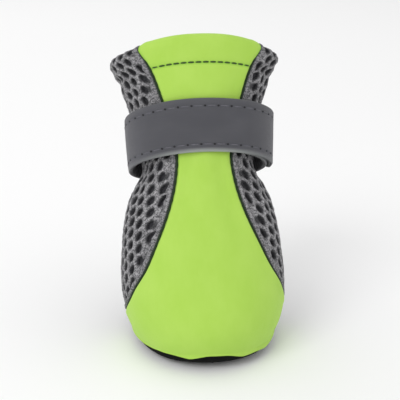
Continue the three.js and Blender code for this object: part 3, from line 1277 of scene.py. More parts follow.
@dataclass
class SideMesh:
    """The air mesh round the sides and the back, with the edge and the thread where it meets the panel."""

    pattern: Pattern
    column: float = 4.8
    row: float = 3.3
    hole: tuple[float, float] = (1.16, 1.14)
    clear_of_seam: float = 2.6
    narrowest_hole: float = 0.36
    slit_stretch: float = 0.5  # how much taller the narrowest holes are
    clear_of_ends: float = 0.9
    least_cell: float = 0.7  # a cell's middle is at least this far from the seam
    slit_shade: float = 0.75  # how much painted shade the net has where it meets the selvedge
    unevenness: float = 0.1
    under_selvedge: float = 0.85  # how deep the net lies there
    edge_steps: int = 4000
    scallop: float = 3.3  # the pitch of the waves in the selvedge's free edge
    # how far from the seam, how deep, how much painted shade
    selvedge: tuple[tuple[float, float, float], ...] = (
        (0.15, 0.66, 1.0), (0.4, 0.2, 0.75), (0.7, -0.1, 0.1), (1.05, -0.24, 0.0), (1.4, -0.26, 0.0),
        (1.75, -0.2, 0.0), (2.05, -0.06, 0.1), (2.3, 0.2, 0.45), (2.5, 0.6, 0.9),
    )
    thickness: float = 1.25
    least_wall: float = 0.04
    # a strand's shoulder: the share of the way to the hole, how deep it lies, how much painted shade it has
    shoulder: tuple[float, float, float] = (0.5, 0.1, 0.32)
    strand_fall: float = 0.4  # how deep the strand lies at the hole
    # painted shade at the hole's lip
    throat_shade: float = 0.85
    hole_taper: float = 0.96  # the hole's size behind, in shares of its size in front
    blank_fall: float = 0.15  # how deep a cell without a hole dips, and how much painted shade it has
    blank_shade: float = 0.3
    seed: int = 11

    def __post_init__(self) -> None:
        """Work out how far the mesh reaches round from the back at each height."""
        p = self.pattern
        self._heights = np.linspace(0, p.end_height, 400)
        level, _ = p.folded(self._heights)
        self._reaches = p.last.distance_at(level, p.seam_turn(level))

    def reach(self, height: Array) -> Array:
        """Return the distance from the back to the seam at a height."""
        return np.interp(height, self._heights, self._reaches)

    def place(self, spot: Array, depth: Array) -> Array:
        """Return points in the mesh, from their distance round and height along the cloth.

        Args:
            spot: a (..., 2) array.
            depth: how deep each lies.
        """
        level, angle = self.pattern.folded(spot[..., 1])
        return self.pattern.cloth(level, self.pattern.last.turn_at(level, spot[..., 0]), angle, depth)

    def settled(self, spot: Array) -> Array:
        """Return how much deeper the mesh lies near the seam and by a little unevenness.

        Args:
            spot: a (..., 2) array of places on the cloth.

        Returns:
            The depths.
        """
        away = self.reach(spot[..., 1]) - np.abs(spot[..., 0])
        x, y = spot[..., 0], spot[..., 1]
        uneven = self.unevenness * np.sin(1.9 * x + 0.7 * y) * np.sin(1.3 * y - 0.5 * x)
        return uneven + self.under_selvedge * (1 - smooth(1.5, self.clear_of_seam, away))

    def cells(self) -> tuple[Array, Array]:
        """Return the middles of the knit's cells and the outline round each middle.

        Returns:
            The middles, and the outline from a middle.
        """
        half_column = self.column / 2
        cut = (half_column**2 + self.row**2) / 2
        corner, tip = (cut - half_column**2) / self.row, cut / self.row
        hexagon = np.array([
            [half_column, -corner], [half_column, corner], [0, tip],
            [-half_column, corner], [-half_column, -corner], [0, -tip],
        ])
        outline = np.stack([hexagon, (hexagon + np.roll(hexagon, -1, axis=0)) / 2], 1).reshape(-1, 2)
        rows = []
        for j in range(int(self.pattern.end_height / self.row)):
            height = (j + 0.5) * self.row
            count = int(self.reach(np.array(height)) / self.column) + 2
            spots = (np.arange(-count, count + 1) + 0.5 * (j % 2)) * self.column
            rows.append(np.stack([spots, np.full(len(spots), height)], -1))
        middles = np.concatenate(rows)
        return middles[np.abs(middles[:, 0]) < self.reach(middles[:, 1]) - self.least_cell], outline

    def _cut_to_shape(self, border: Array, chosen: Array) -> Array:
        """Move the knit's outermost points to the nearest points of the cut edge.

        Args:
            border: all the points between cells.
            chosen: which of them lie on the outside.

        Returns:
            The border points after the move.
        """
        heights = np.linspace(0, self.pattern.end_height, self.edge_steps)
        reach = self.reach(heights)
        ends = np.linspace(-1, 1, self.edge_steps)
        edge = np.concatenate([
            np.stack([reach, heights], -1),
            np.stack([-reach, heights], -1),
            np.stack([ends * reach[0], np.zeros(self.edge_steps)], -1),
            np.stack([ends * reach[-1], np.full(self.edge_steps, heights[-1])], -1),
        ])
        moved = border.copy()
        for i in np.flatnonzero(chosen):
            moved[i] = edge[np.argmin(((edge - border[i]) ** 2).sum(1))]
        return moved

    def _holes(self, middles: Array, outline: Array) -> tuple[Array, Array, Array]:
        """Lay an oval hole in each cell, cut narrower and drawn taller where the seam is near.

        Args:
            middles: the cells' middles.
            outline: the outline round each middle.

        Returns:
            The holes' centres, the points round each, and which cells have room for one.
        """
        rng = np.random.default_rng(self.seed)
        count = len(middles)
        limit = self.reach(middles[:, 1]) - self.clear_of_seam
        wide = self.hole[0] * rng.uniform(0.9, 1.1, count)
        tall = self.hole[1] * rng.uniform(0.9, 1.1, count)
        low = np.maximum(middles[:, 0] - wide, -limit)
        high = np.minimum(middles[:, 0] + wide, limit)
        centre = np.stack([(low + high) / 2, middles[:, 1]], -1) + rng.uniform(-0.12, 0.12, (count, 2))
        tall = tall * (1 + self.slit_stretch * np.clip(1.3 - (high - low) / (2 * wide), 0, 0.8))
        wide = (high - low) / 2
        holed = (wide > self.narrowest_hole) & (middles[:, 1] - tall > self.clear_of_ends)
        holed &= middles[:, 1] + tall < self.pattern.end_height - self.clear_of_ends
        angle = np.arctan2(outline[:, 1] / self.hole[1], outline[:, 0] / self.hole[0])
        ellipse = np.stack([np.cos(angle), np.sin(angle)], -1)
        return centre, centre[:, None] + ellipse * np.stack([wide, tall], -1)[:, None], holed

    def net(self) -> bpy.types.Object:
        """Build the mesh with its holes, as one closed knit.

        Returns:
            The object.
        """
        middles, outline = self.cells()
        count, corners = len(middles), len(outline)
        rim = (middles[:, None] + outline).reshape(-1, 2)
        _, first, shared = np.unique(np.round(rim, 3), axis=0, return_index=True, return_inverse=True)
        shared = np.asarray(shared).reshape(count, corners)
        outermost = self._outermost(shared)
        chosen = np.zeros(len(first), bool)
        chosen[list({i for pair in outermost for i in pair})] = True
        border = self._cut_to_shape(rim[first], chosen)
        rim = border[shared]
        centre, lip, holed = self._holes(middles, outline)
        middle_of = rim.mean(1)
        deepest = self.thickness - self.least_wall
        border_deep = np.minimum(self.settled(border), deepest)
        points = [self.place(border, border_deep), self.place(border, np.full(len(border), self.thickness))]
        spots = [border, border]
        # painted shade for each point, kept as the piece's depth: none on the crests, full on the back face
        dark = [np.zeros(len(border)), np.ones(len(border))]
        across, shoulder_fall, shoulder_shade = self.shoulder
        rings = [
            (rim * (1 - across) + lip * across, shoulder_fall, shoulder_shade),
            (lip, self.strand_fall, self.throat_shade),
            (centre[:, None] + (lip - centre[:, None]) * self.hole_taper, self.thickness, 1.0),
        ]
        holes = np.flatnonzero(holed)
        blanks = np.flatnonzero(~holed)
        start = 2 * len(border)
        faces: list[list[int]] = []
        for spot, fallen, shade in rings:
            chosen = spot[holes].reshape(-1, 2)
            deep = np.full(len(chosen), fallen)
            if fallen < self.thickness:
                deep = np.minimum(deep + self.settled(chosen), deepest)
            points.append(self.place(chosen, deep))
            spots.append(chosen)
            dark.append(np.full(len(chosen), shade))
        size = len(holes) * corners
        n = len(border)
        front, back = shared[holes], shared[holes] + n
        own = np.arange(size).reshape(-1, corners) + start
        loops = [front, own, own + size, own + 2 * size, back]
        for a, b in zip(loops, loops[1:]):
            quads = np.stack([a, np.roll(a, -1, 1), np.roll(b, -1, 1), b], -1)
            faces += quads.reshape(-1, 4).tolist()
        flat_middles = middle_of[blanks]
        blank_deep = np.minimum(self.settled(flat_middles) + self.blank_fall, deepest)
        points.append(self.place(flat_middles, blank_deep))
        spots.append(flat_middles)
        dark.append(np.full(len(blanks), self.blank_shade))
        fan = start + 3 * size
        for k, cell in enumerate(blanks):
            line = shared[cell].tolist()
            faces += [[line[j], line[(j + 1) % corners], fan + k] for j in range(corners)]
            faces.append([i + n for i in line][::-1])
        faces += [[a, b, b + n, a + n] for a, b in outermost]
        flat = np.concatenate(spots)
        # more painted shade in slits beside the selvedge, where the net dips under it
        away = self.reach(flat[:, 1]) - np.abs(flat[:, 0])
        slit = 0.7 + 0.3 * np.sin(flat[:, 1] * 2 * math.pi / (2 * self.row))
        shade = np.concatenate(dark) + self.slit_shade * slit * bell(away - self.clear_of_seam - 0.1, 0.6)
        return finished(mesh_piece(
            "side_mesh",
            np.concatenate(points),
            faces,
            flat,
            {"depth": np.minimum(shade, 1)},
        ), angle=70)

    @staticmethod
    def _outermost(shared: Array) -> list[tuple[int, int]]:
        """Return the pairs of border points that belong to one cell only.

        Args:
            shared: the border points round each cell.

        Returns:
            The pairs, in the order of their cell.
        """
        seen: dict[tuple[int, int], int] = {}
        for line in shared.tolist():
            for a, b in zip(line, line[1:] + line[:1]):
                key = (min(a, b), max(a, b))
                seen[key] = seen.get(key, 0) + 1
        return [pair for pair, times in seen.items() if times == 1]

    def edges(self) -> bpy.types.Object:
        """Build the close-knit edges along both seams, each with a scalloped free edge over the net.

        Returns:
            The object.
        """
        p = self.pattern
        heights = np.arange(0.3, p.end_height, 0.45)
        offsets, base, shade = np.array(self.selvedge).T
        made = []
        for side in (-1, 1):
            rng = np.random.default_rng(self.seed + side)
            noise = np.convolve(rng.normal(0, 1, len(heights) + 4), np.ones(5) / 5, "valid")
            waves = np.sin(heights * 2 * math.pi / self.scallop + 0.8 * noise + side)
            rough = rng.uniform(-0.07, 0.07, (len(heights), len(offsets)))
            wander = (0.22 * noise + 0.3 * waves)[:, None] * smooth(0.3, 2.2, offsets)
            lines = [p.beside_seam(heights, side, offset, 0.0) for offset in offsets]
            points = np.stack([line for line, _ in lines], 1)
            out = np.stack([facing for _, facing in lines], 1)
            step = np.gradient(points, offsets, axis=1)
            depth = base + rough
            outer = points + step * wander[..., None] - out * depth[..., None]
            inner = points + step * wander[..., None] - out * np.maximum(1.05, depth + 0.15)[..., None]
            flat = np.stack(np.broadcast_arrays(offsets, heights[:, None]), -1)
            # painted shade where the edge dips into the seam and where its free edge meets the net
            tone = np.broadcast_to(shade, depth.shape)
            made.append(shell_piece(
                "mesh_edges", outer, inner, flat=flat, painted={"depth": (tone, np.ones(tone.shape))}
            ))
        select_only(made[0])
        made[1].select_set(True)
        bpy.ops.object.join()
        deselect_all()
        return made[0]

    def seam_threads(self) -> bpy.types.Object:
        """Build the dark thread that sinks between the mesh and the panel.

        Returns:
            The object.
        """
        p = self.pattern
        heights = np.arange(0.4, p.end_height, 0.4)
        made = []
        for side in (-1, 1):
            track, out = p.beside_seam(heights, side, 0.05, 0.3)
            width = 0.36 + 0.07 * np.sin(heights * 2 * math.pi / 2.4)
            made.append(tube_points(track, width, 7, out, 0.9))
        return joined_tubes("seam_threads", made, heights)

    def build(self) -> list[bpy.types.Object]:
        """Build and dress the mesh, its edges and its seams.

        Returns:
            The pieces.
        """
        net, edges, threads = self.net(), self.edges(), self.seam_threads()
        net.data.materials.append(AirMesh().make())
        edges.data.materials.append(AirMesh(pale=(0.43, 0.42, 0.44)).make("mesh_selvedge"))
        threads.data.materials.append(Thread(Twist.SEAM).make())
        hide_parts("upper")
        return [net, edges, threads]


def joined_tubes(name: str, tubes: Sequence[Array], heights: Array) -> bpy.types.Object:
    """Make several tubes as one object, with the way along them as its flat places.

    Args:
        name: the piece's name.
        tubes: the rings of points of each tube.
        heights: the place of each ring along the cloth.

    Returns:
        The object.
    """
    points, faces, flats = [], [], []
    start = 0
    for rings in tubes:
        count, sides = rings.shape[:2]
        points.append(rings.reshape(-1, 3))
        around = np.linspace(0, 3.5, sides, endpoint=False)
        flats.append(np.stack(np.meshgrid(around, heights[:count]), -1).reshape(-1, 2))
        faces += grid_faces(count, sides, start, True).tolist()
        faces += [[start + j for j in range(sides)][::-1]]
        faces += [[start + (count - 1) * sides + j for j in range(sides)]]
        start += count * sides
    flat = np.concatenate(flats)
    depth = np.zeros(len(flat))
    return finished(mesh_piece(name, np.concatenate(points), faces, flat, {"depth": depth}), weld=0.0005)


@dataclass
class Backing:
    """The dark knit behind the mesh and the panel, all round inside the boot."""

    pattern: Pattern
    rows: int = 90
    columns: int = 120
    face: float = 1.42  # how deep its two faces lie
    back: float = 2.4
    over_hem: tuple[float, float] = (0.12, 0.72)  # how much less, beside the turned hem

    def build(self) -> list[bpy.types.Object]:
        """Build and dress the lining.

        Returns:
            The piece.
        """
        p = self.pattern
        heights = np.linspace(1.2, p.top_height + 0.6, self.rows)
        turns = np.linspace(0, 1, self.columns, endpoint=False)
        level = np.broadcast_to(p.last.level_at(heights)[:, None], (self.rows, self.columns))
        turn = np.broadcast_to(turns, level.shape)
        in_hem = smooth(p.top_height - p.hem - 1.4, p.top_height - p.hem - 0.4, heights)[:, None]
        outer = np.broadcast_to(self.face - self.over_hem[0] * in_hem, level.shape)
        inner = np.broadcast_to(self.back - self.over_hem[1] * in_hem, level.shape)
        lining = shell_piece(
            "lining", p.last.at(level, turn, outer), p.last.at(level, turn, inner), wrap=True
        )
        lining.data.materials.append(Lining().make())
        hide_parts("upper")
        return [lining]


# ---------------------------------------------------------------------------------------------------------
# The strap
# ---------------------------------------------------------------------------------------------------------


@dataclass
class Strap:
    """The reflective strap, wrapped once round the ankle and lapped over itself at the front."""

    last: Last
    width: float = 16.6
    thickness: float = 1.5
    face_thickness: float = 0.72
    level: float = 10.1
    droop: float = 0.7
    gap: float = 0.4
    at_side: float = 0.4
    lap: tuple[float, float] = (0.1, 1.27)
    climb: tuple[float, float] = (1.03, 1.1)
    lap_gap: float = 0.3
    step: float = 0.7
    stitch_inset: float = 2.4
    stitch_pitch: float = 4.2
    stitch_share: float = 0.78  # of the pitch
    thread_radius: float = 0.19
    pit_radius: float = 0.42
    groove_depth: float = 0.17

    def place(self, turns: Array, across: Array, through: Array) -> tuple[Array, Array]:
        """Return points of the strap and the directions out of it.

        Args:
            turns: the way round, in turns from the front.
            across: millimetres up from the strap's middle line.
            through: millimetres out from its back.

        Returns:
            The points and the directions.
        """
        step = 0.01
        level = self.level - self.droop * np.sin(np.pi * turns) ** 2
        rise = self.last.point(level + step, turns) - self.last.point(level - step, turns)
        reach = self.width / 2 / (np.linalg.norm(rise, axis=-1) / (2 * step))
        low, high = self.last.point(level - reach, turns), self.last.point(level + reach, turns)
        up = high - low
        up /= np.linalg.norm(up, axis=-1, keepdims=True)
        out = self.last.directions(level, turns)[1]
        out = out - up * (out * up).sum(-1, keepdims=True)
        out /= np.linalg.norm(out, axis=-1, keepdims=True)
        stand = self.gap + self.at_side * np.sin(2 * np.pi * turns) ** 2
        stand = stand + smooth(*self.climb, turns) * (self.thickness + self.lap_gap)
        middle = (low + high) / 2
        return middle + up * across[..., None] + out * (stand + through)[..., None], out

    def _turns(self) -> tuple[Array, Array]:
        """Return even steps along the strap, in turns and in millimetres.

        Returns:
            The turns and the distances.
        """
        fine = np.linspace(*self.lap, 800)
        line, _ = self.place(fine, np.zeros(800), np.full(800, self.thickness))
        far = way_along(line)
        steps = np.linspace(0, far[-1], int(far[-1] / self.step))
        return np.interp(steps, far, fine), steps

    def _band(self, name: str, profile: Array, painted: Callable[[Array, Array], Array]) -> bpy.types.Object:
        """Make one layer of the strap.

        Args:
            name: the piece's name.
            profile: a (k, 2) closed outline of places across and through the strap.
            painted: gives the edge tone from the turns and the places across.

        Returns:
            The object.
        """
        turns, far = self._turns()
        shape = (len(turns), len(profile))
        turn = np.broadcast_to(turns[:, None], shape)
        across = np.broadcast_to(profile[:, 0], shape).copy()
        end = smooth(0, 1.2, far[-1] - far)[:, None]
        across = across * (0.93 + 0.07 * end)
        through = np.broadcast_to(profile[:, 1], shape)
        ripple = 0.1 * np.sin(far * 0.31)[:, None] * np.abs(across / self.width * 2) ** 3
        points, _ = self.place(turn, across, through + ripple)
        faces = grid_faces(*shape, 0, True).tolist()
        for row, flip in ((0, -1), (shape[0] - 1, 1)):
            faces.append([row * shape[1] + j for j in range(shape[1])][::flip])
        flat = np.stack([np.broadcast_to(far[:, None], shape), across], -1).reshape(-1, 2)
        tone = {"edge": painted(turn, across).ravel()}
        return finished(mesh_piece(name, points.reshape(-1, 3), faces, flat, tone), angle=45)

    def tape(self) -> bpy.types.Object:
        """Build the tape's face, with its soft edges and the channels that the stitches lie in.

        Returns:
            The object.
        """
        half, top = self.width / 2, self.thickness
        low = top - self.face_thickness
        channel = half - self.stitch_inset
        across = np.unique(np.concatenate([
            np.linspace(-half + 0.35, half - 0.35, 15),
            [s * (channel + d) for s in (-1, 1) for d in (-0.55, -0.25, 0, 0.25, 0.55)],
        ]))
        groove = self.groove_depth * (bell(across - channel, 0.32) + bell(across + channel, 0.32))
        crown = 0.1 * (1 - (across / half) ** 2)
        face = np.stack([across, top - 0.1 - groove + crown], -1)
        right = [[half - 0.1, top - 0.22], [half, top - 0.42], [half - 0.05, low + 0.05]]
        under = np.stack([np.linspace(half - 0.3, -half + 0.3, 9), np.full(9, low)], -1)
        left = [[-half + 0.05, low + 0.05], [-half, top - 0.42], [-half + 0.1, top - 0.22]]
        profile = np.concatenate([face, right, under, left])

        def pale(turn: Array, v: Array) -> Array:
            """Return how pale the tape is: the pale cut edges all round, and a painted highlight along its
            lower edge in front.

            Args:
                turn: the turns.
                v: the places across.

            Returns:
                The tone, 1 where the edge is palest.
            """
            # painted highlight: the lower edge is far paler in front than round the sides and the back
            front = bell((turn + 0.5) % 1 - 0.5, 0.1)
            lower = smooth(half - 1.25, half - 0.55, -v)
            upper = smooth(half - 0.5, half - 0.1, v)
            return np.clip(lower * (0.2 + 0.8 * front) + 0.15 * upper, 0, 1)

        return self._band("strap_tape", profile, pale)

    def pile(self) -> bpy.types.Object:
        """Build the looped backing under the tape.

        Returns:
            The object.
        """
        half = self.width / 2 - 0.15
        top = self.thickness - self.face_thickness - 0.04
        side = np.array([[half, 0.2], [half + 0.1, top / 2], [half - 0.05, top]])
        upper = np.stack([np.linspace(half - 0.3, -half + 0.3, 9), np.full(9, top)], -1)
        lower = np.stack([np.linspace(-half + 0.25, half - 0.25, 9), np.full(9, 0.03)], -1)
        profile = np.concatenate([lower, side, upper, side[::-1] * [-1, 1]])
        return self._band("strap_backing", profile, lambda turn, v: np.zeros(v.shape))

    def _rows(self) -> list[tuple[Array, Array, Array]]:
        """Return the two stitch rows: each line, the directions out, and the distance along it.

        Returns:
            The lower row and the upper one.
        """
        turns, _ = self._turns()
        made = []
        for side in (-1, 1):
            across = np.full(turns.shape, side * (self.width / 2 - self.stitch_inset))
            line, out = self.place(turns, across, np.full(turns.shape, self.thickness - 0.16))
            far = way_along(line)
            made.append((line, out, far))
        return made

    def stitching(self) -> list[bpy.types.Object]:
        """Build the threads along both edges and the needle pits between them, near black as painted shade in
        the needle holes.

        Returns:
            The lower threads, the upper threads and the pits.
        """
        pieces = []
        for name, (line, out, far) in zip(("strap_stitches_lower", "strap_stitches_upper"), self._rows()):
            length = self.stitch_pitch * self.stitch_share
            line = line + out * 0.02
            pieces.append(stitches(name, line, out, far, self.stitch_pitch, length, self.thread_radius))
        pits = []
        for line, out, far in self._rows():
            count = int(far[-1] / self.stitch_pitch)
            start = (far[-1] - count * self.stitch_pitch) / 2
            for i in range(count + 1):
                spot = [np.interp(start + i * self.stitch_pitch, far, line[:, k]) for k in range(3)]
                normal = [np.interp(start + i * self.stitch_pitch, far, out[:, k]) for k in range(3)]
                pits.append((Vector(spot) + 0.04 * Vector(normal), Vector(normal)))
        pieces.append(self._pits(pits))
        return pieces

    def _pits(self, places: Sequence[tuple[Vector, Vector]]) -> bpy.types.Object:
        """Model one needle pit, a dark blob of painted shade in a needle hole, and copy it to every place.

        Args:
            places: each pit's middle and the direction out of the strap.

        Returns:
            All the pits as one object.
        """
        deselect_all()
        bpy.ops.mesh.primitive_uv_sphere_add(segments=8, ring_count=5, radius=self.pit_radius * MM)
        pattern = bpy.context.object
        bpy.ops.object.mode_set(mode="EDIT")
        bpy.ops.transform.resize(value=(1.0, 0.8, 0.3))
        bpy.ops.object.mode_set(mode="OBJECT")
        copies = []
        for middle, normal in places:
            copy = pattern.copy()
            copy.data = pattern.data.copy()
            copy.matrix_world = normal.to_track_quat("Z", "Y").to_matrix().to_4x4()
            copy.location = middle * MM
            bpy.context.scene.collection.objects.link(copy)
            copies.append(copy)
        bpy.data.objects.remove(pattern)
        deselect_all()
        for copy in copies:
            copy.select_set(True)
        bpy.context.view_layer.objects.active = copies[0]
        bpy.ops.object.join()
        bpy.ops.object.transform_apply(location=True, rotation=True, scale=True)
        made = bpy.context.object
        made.name = made.data.name = "strap_needle_pits"
        return finished(made, weld=0.0005)

    def build(self) -> list[bpy.types.Object]:
        """Build and dress the strap's layers and stitching.

        Returns:
            The pieces.
        """
        tape, pile = self.tape(), self.pile()
        lower, upper, pits = self.stitching()
        tape.data.materials.append(ReflectiveTape().make())
        pile.data.materials.append(Pile().make())
        thread = Thread(Twist.STRAP).make()
        for row in (lower, upper):
            row.data.materials.append(thread)
        pits.data.materials.append(Thread(Twist.NEEDLE_HOLE_SHADE).make())
        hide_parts("strap")
        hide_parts("strap")
        return [tape, pile, lower, upper, pits]


# ---------------------------------------------------------------------------------------------------------
# The sole and the footbed
# ---------------------------------------------------------------------------------------------------------


@dataclass
class Sole:
    """The thin rubber cup under the boot, with its lip round the upper and its tread."""

    last: Last
    columns: int = 168
    lug_height: float = 0.8
    lug_first: float = 9.4
    lug_pitch: float = 5.9
    lug_count: int = 8
    lug_length: float = 3.7
    lug_margin: float = 5.4
    lug_sweep: float = 3.2
    lug_sunk: float = 0.9
    stud_radius: float = 0.55
    stud_length: float = 0.6
    stud_height: float = 0.72
    stud_pitch: float = 2.6
    studs_aside: int = 6
    # turn and how much higher the lip stands there
    lip: tuple[tuple[float, float], ...] = (
        (-0.5, 0.3), (-0.36, 0.1), (-0.3, 0.3), (-0.24, -0.4), (0.24, -0.4), (0.3, 0.3), (0.4, 0.1),
        (0.5, 0.3),
    )
    # margin in from the seam, share of the way out, height
    profile: tuple[tuple[float, float, float], ...] = (
        (5.0, 0.3, 0.8), (5.0, 0.6, 0.8), (5.0, 0.85, 0.8), (4.2, 1.0, 0.8), (3.2, 1.0, 0.92),
        (2.2, 1.0, 1.25), (1.5, 1.0, 1.6), (0.9, 1.0, 2.1), (0.5, 1.0, 2.6), (0.2, 1.0, 3.2), (0.0, 1.0, 4.0),
        (-0.12, 1.0, 4.8), (-0.16, 1.0, 4.95), (-0.1, 1.0, 5.12), (0.1, 1.0, 5.22), (0.4, 1.0, 5.22),
        (0.65, 1.0, 5.1),
        (0.8, 1.0, 4.9), (0.85, 1.0, 4.7), (1.1, 1.0, 4.5), (2.1, 1.0, 4.42), (2.35, 1.0, 3.7),
        (3.2, 1.0, 2.6), (5.0, 0.85, 2.6), (5.0, 0.6, 2.6), (5.0, 0.3, 2.6),
    )

    def place(self, margin: Array, share: Array, height: Array, turn: Array) -> Array:
        """Return points of a layer of the sole.

        Args:
            margin: how far in from the seam each ring runs.
            share: how far out from the middle each point is.
            height: each ring's height.
            turn: the way round.

        Returns:
            Points in the frame.
        """
        seam = self.last.table[0]
        plan = np.broadcast_to(seam, (*turn.shape, 8)).copy()
        plan[..., 0] += margin
        plan[..., 2] -= margin
        plan[..., 4] -= margin
        plan[..., 1] = plan[..., 3] = height
        p = self.last.ring(plan, turn)
        middle = seam[0] + (seam[2] - seam[0]) * seam[5]
        p[..., 0] *= share
        p[..., 1] = middle + (p[..., 1] - middle) * share
        p[..., 2] += self.last.lift(p[..., 1])
        p[..., 1] += self.last.toe_y
        return p

    def half_width(self, y: float) -> float:
        """Return half the seam's width at a distance back from the toe tip.

        Args:
            y: the distance.

        Returns:
            The half width.
        """
        front, _, back, _, half, widest, front_power, back_power = self.last.table[0]
        middle = front + (back - front) * widest
        if y < middle:
            share, power = (middle - y) / (middle - front), front_power
        else:
            share, power = (y - middle) / (back - middle), back_power
        return half * max(0.0, 1 - share**power) ** (1 / power)

    def cup(self) -> bpy.types.Object:
        """Build the rubber cup, with a slightly uneven lip as it leaves the mould.

        Returns:
            The object.
        """
        rows = np.array(self.profile)
        turns = np.linspace(0, 1, self.columns, endpoint=False)
        turn = np.broadcast_to(turns, (len(rows), self.columns))
        margin, share, height = (np.broadcast_to(rows[:, i : i + 1], turn.shape) for i in range(3))
        knots, rises = np.array(self.lip).T
        wave = np.interp((turn + 0.5) % 1 - 0.5, knots, rises) + 0.08 * np.sin(2 * np.pi * (13 * turn + 0.7))
        on_lip = smooth(4.5, 4.95, height)
        return ringed_solid("sole_cup", self.place(margin, share, height + wave * on_lip, turn), 50)

    def _bent(self, piece: bpy.types.Object) -> None:
        """Bend a flat piece of tread to the sole's lift.

        Args:
            piece: the flat piece.
        """
        for vertex in piece.data.vertices:
            back = np.array(vertex.co.y / MM - self.last.toe_y)
            vertex.co.z += float(self.last.lift(back)) * MM

    def _lug(self, y: float) -> bpy.types.Object:
        """Model one chevron lug that points to the toe.

        Args:
            y: how far back from the toe tip its middle is.

        Returns:
            The lug.
        """
        tip = y + self.lug_length / 2
        reach = min(self.half_width(tip - self.lug_sweep / 2), self.half_width(tip + self.lug_sweep))
        reach -= self.lug_margin
        deselect_all()
        bpy.ops.mesh.primitive_grid_add(x_subdivisions=24, y_subdivisions=3, size=1)
        lug = bpy.context.object
        bpy.ops.object.mode_set(mode="EDIT")
        bpy.ops.transform.resize(value=(2 * reach * MM, self.lug_length * MM, 1))
        bpy.ops.mesh.extrude_region_move(
            TRANSFORM_OT_translate={"value": (0, 0, (self.lug_height + self.lug_sunk) * MM)}
        )
        bpy.ops.mesh.select_all(action="SELECT")
        bpy.ops.mesh.normals_make_consistent(inside=False)
        bpy.ops.object.mode_set(mode="OBJECT")
        for vertex in lug.data.vertices:
            side = abs(vertex.co.x) / (reach * MM)
            vertex.co.y *= 1 - 0.28 * side
            vertex.co.y += (y + self.last.toe_y + self.lug_sweep * side) * MM
        select_only(lug)
        bevel = lug.modifiers.new("worn_edges", "BEVEL")
        bevel.width, bevel.segments, bevel.limit_method = 0.22 * MM, 2, "ANGLE"
        bevel.angle_limit = math.radians(50)
        bpy.ops.object.modifier_apply(modifier=bevel.name)
        self._bent(lug)
        return lug

    def tread(self) -> bpy.types.Object:
        """Build the chevron lugs and the small studs between them as one piece.

        Returns:
            The object.
        """
        lugs = [self._lug(self.lug_first + i * self.lug_pitch) for i in range(self.lug_count)]
        deselect_all()
        bpy.ops.mesh.primitive_cylinder_add(
            vertices=10, radius=self.stud_radius * MM, depth=self.stud_length * MM
        )
        stud = bpy.context.object
        bpy.ops.object.mode_set(mode="EDIT")
        bpy.ops.mesh.select_all(action="SELECT")
        bpy.ops.mesh.bevel(offset=0.12 * MM, segments=1, affect="EDGES")
        bpy.ops.object.mode_set(mode="OBJECT")
        copies = []
        for i in range(self.lug_count + 1):
            y = self.lug_first + (i - 0.5) * self.lug_pitch + 0.4
            room = self.half_width(y + self.lug_sweep * 0.6) - self.lug_margin
            for j in range(-self.studs_aside, self.studs_aside + 1):
                x = j * self.stud_pitch
                if abs(x) > room:
                    continue
                copy = stud.copy()
                copy.data = stud.data.copy()
                sweep = self.lug_sweep * abs(x) / max(room, 1.0)
                copy.location = (x * MM, (y + sweep + self.last.toe_y) * MM, self.stud_height * MM)
                bpy.context.scene.collection.objects.link(copy)
                copies.append(copy)
        bpy.data.objects.remove(stud)
        for copy in copies:
            select_only(copy)
            bpy.ops.object.transform_apply(location=True, rotation=True, scale=True)
            self._bent(copy)
        deselect_all()
        for piece in lugs + copies:
            piece.select_set(True)
        bpy.context.view_layer.objects.active = lugs[0]
        bpy.ops.object.join()
        tread = bpy.context.object
        tread.name = tread.data.name = "sole_tread"
        return finished(tread, angle=40)

    def build(self) -> list[bpy.types.Object]:
        """Build and dress the cup and the tread.

        Returns:
            The pieces.
        """
        cup, tread = self.cup(), self.tread()
        rubber = Rubber().make()
        for piece in (cup, tread):
            piece.data.materials.append(rubber)
            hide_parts("sole")
        return [cup, tread]


@dataclass
class FootbedPad:
    """The thin foam footbed that lies in the cup."""

    sole: Sole
    columns: int = 120
    # margin in from the seam, share of the way out, height
    profile: tuple[tuple[float, float, float], ...] = (
        (5.0, 0.3, 2.92), (5.0, 0.6, 2.92), (5.0, 0.85, 2.92), (4.6, 1.0, 2.95), (3.8, 1.0, 3.3),
        (3.45, 1.0, 3.9), (3.5, 1.0, 4.45), (3.85, 1.0, 4.8), (4.4, 1.0, 4.9), (5.0, 1.0, 4.82),
        (5.0, 0.9, 4.7), (5.0, 0.75, 4.66), (5.0, 0.6, 4.62), (5.0, 0.45, 4.6), (5.0, 0.3, 4.6),
    )

    def build(self) -> list[bpy.types.Object]:
        """Build and dress the footbed.

        Returns:
            The piece.
        """
        rows = np.array(self.profile)
        turns = np.linspace(0, 1, self.columns, endpoint=False)
        turn = np.broadcast_to(turns, (len(rows), self.columns))
        margin, share, height = (np.broadcast_to(rows[:, i : i + 1], turn.shape) for i in range(3))
        pad = ringed_solid("footbed_pad", self.sole.place(margin, share, height, turn), 60)
        pad.data.materials.append(Footbed().make())
        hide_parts("insole")
        return [pad]


# ---------------------------------------------------------------------------------------------------------
# The studio
# ---------------------------------------------------------------------------------------------------------


@dataclass(frozen=True)
class Lamp:
    """One soft square lamp aimed at the boot."""

    name: str
    place: tuple[float, float, float]
    size: float
    power: float


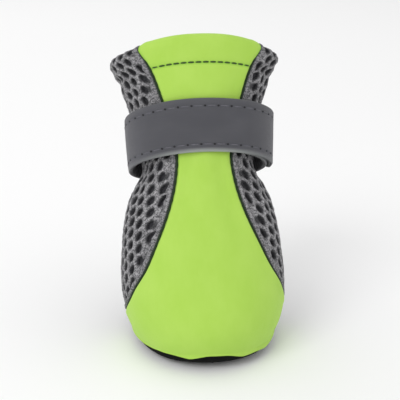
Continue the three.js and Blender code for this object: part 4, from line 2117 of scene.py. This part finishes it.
@dataclass
class Studio:
    """A pale floor, soft lamps and the camera."""

    lens: float = 88.0
    distance: float = 0.32
    elevation: float = 18.0
    azimuth: float = -7.0
    aim: tuple[float, float, float] = (0.0, 0.0, 0.0436)
    sky: float = 0.82
    floor_size: float = 12.0
    lamps: tuple[Lamp, ...] = (
        Lamp("key_lamp", (-0.72, -0.75, 0.9), 0.7, 5.5),
        Lamp("fill_lamp", (0.9, -0.7, 0.6), 0.8, 0.3),
        Lamp("rim_lamp", (-0.35, 0.9, 0.8), 0.7, 1.2),
    )

    def camera(self) -> None:
        """Place the camera in front of the boot and a little above it."""
        data = bpy.data.cameras.new("studio_camera")
        data.lens, data.sensor_width, data.clip_start = self.lens, 36.0, 0.01
        camera = bpy.data.objects.new("studio_camera", data)
        rise, turn = math.radians(self.elevation), math.radians(self.azimuth)
        away = Vector((math.sin(turn) * math.cos(rise), -math.cos(turn) * math.cos(rise), math.sin(rise)))
        camera.location = Vector(self.aim) + self.distance * away
        camera.rotation_euler = away.to_track_quat("Z", "Y").to_euler()
        bpy.context.scene.collection.objects.link(camera)
        bpy.context.scene.camera = camera

    def light(self) -> None:
        """Hang the lamps and set the sky."""
        for lamp in self.lamps:
            data = bpy.data.lights.new(lamp.name, "AREA")
            data.size, data.energy = lamp.size, lamp.power
            made = bpy.data.objects.new(lamp.name, data)
            made.location = lamp.place
            toward = Vector(lamp.place) - Vector(self.aim)
            made.rotation_euler = toward.to_track_quat("Z", "Y").to_euler()
            bpy.context.scene.collection.objects.link(made)
        world = bpy.data.worlds.new("studio_sky")
        world.use_nodes = True
        sky = world.node_tree.nodes["Background"]
        sky.inputs["Color"].default_value = (1.0, 1.0, 1.0, 1.0)
        sky.inputs["Strength"].default_value = self.sky
        bpy.context.scene.world = world

    def floor(self) -> None:
        """Lay the floor."""
        deselect_all()
        bpy.ops.mesh.primitive_plane_add(size=self.floor_size)
        floor = bpy.context.object
        floor.name = "studio_floor"
        floor.data.materials.append(StudioFloor().make())

    def build(self) -> None:
        """Set the studio up."""
        bpy.context.scene.view_settings.view_transform = "Standard"
        self.camera()
        self.light()
        self.floor()


# ---------------------------------------------------------------------------------------------------------
# The boot
# ---------------------------------------------------------------------------------------------------------


def main() -> None:
    """Load the frame, build each part of the boot and the studio, and log each piece's face count."""
    logging.basicConfig(level=logging.INFO, format="%(name)s: %(message)s")
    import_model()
    deselect_all()
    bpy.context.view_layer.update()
    Studio().build()
    last = Last()
    pattern = Pattern(last)
    sole = Sole(last)
    upper = (FrontPanel(pattern), SideMesh(pattern), Backing(pattern))
    for part in (*upper, Strap(last), sole, FootbedPad(sole)):
        for piece in part.build():
            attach(piece, BODY)
            LOG.info("%s: %d faces", piece.name, len(piece.data.polygons))


if __name__ == "__main__":
    main()
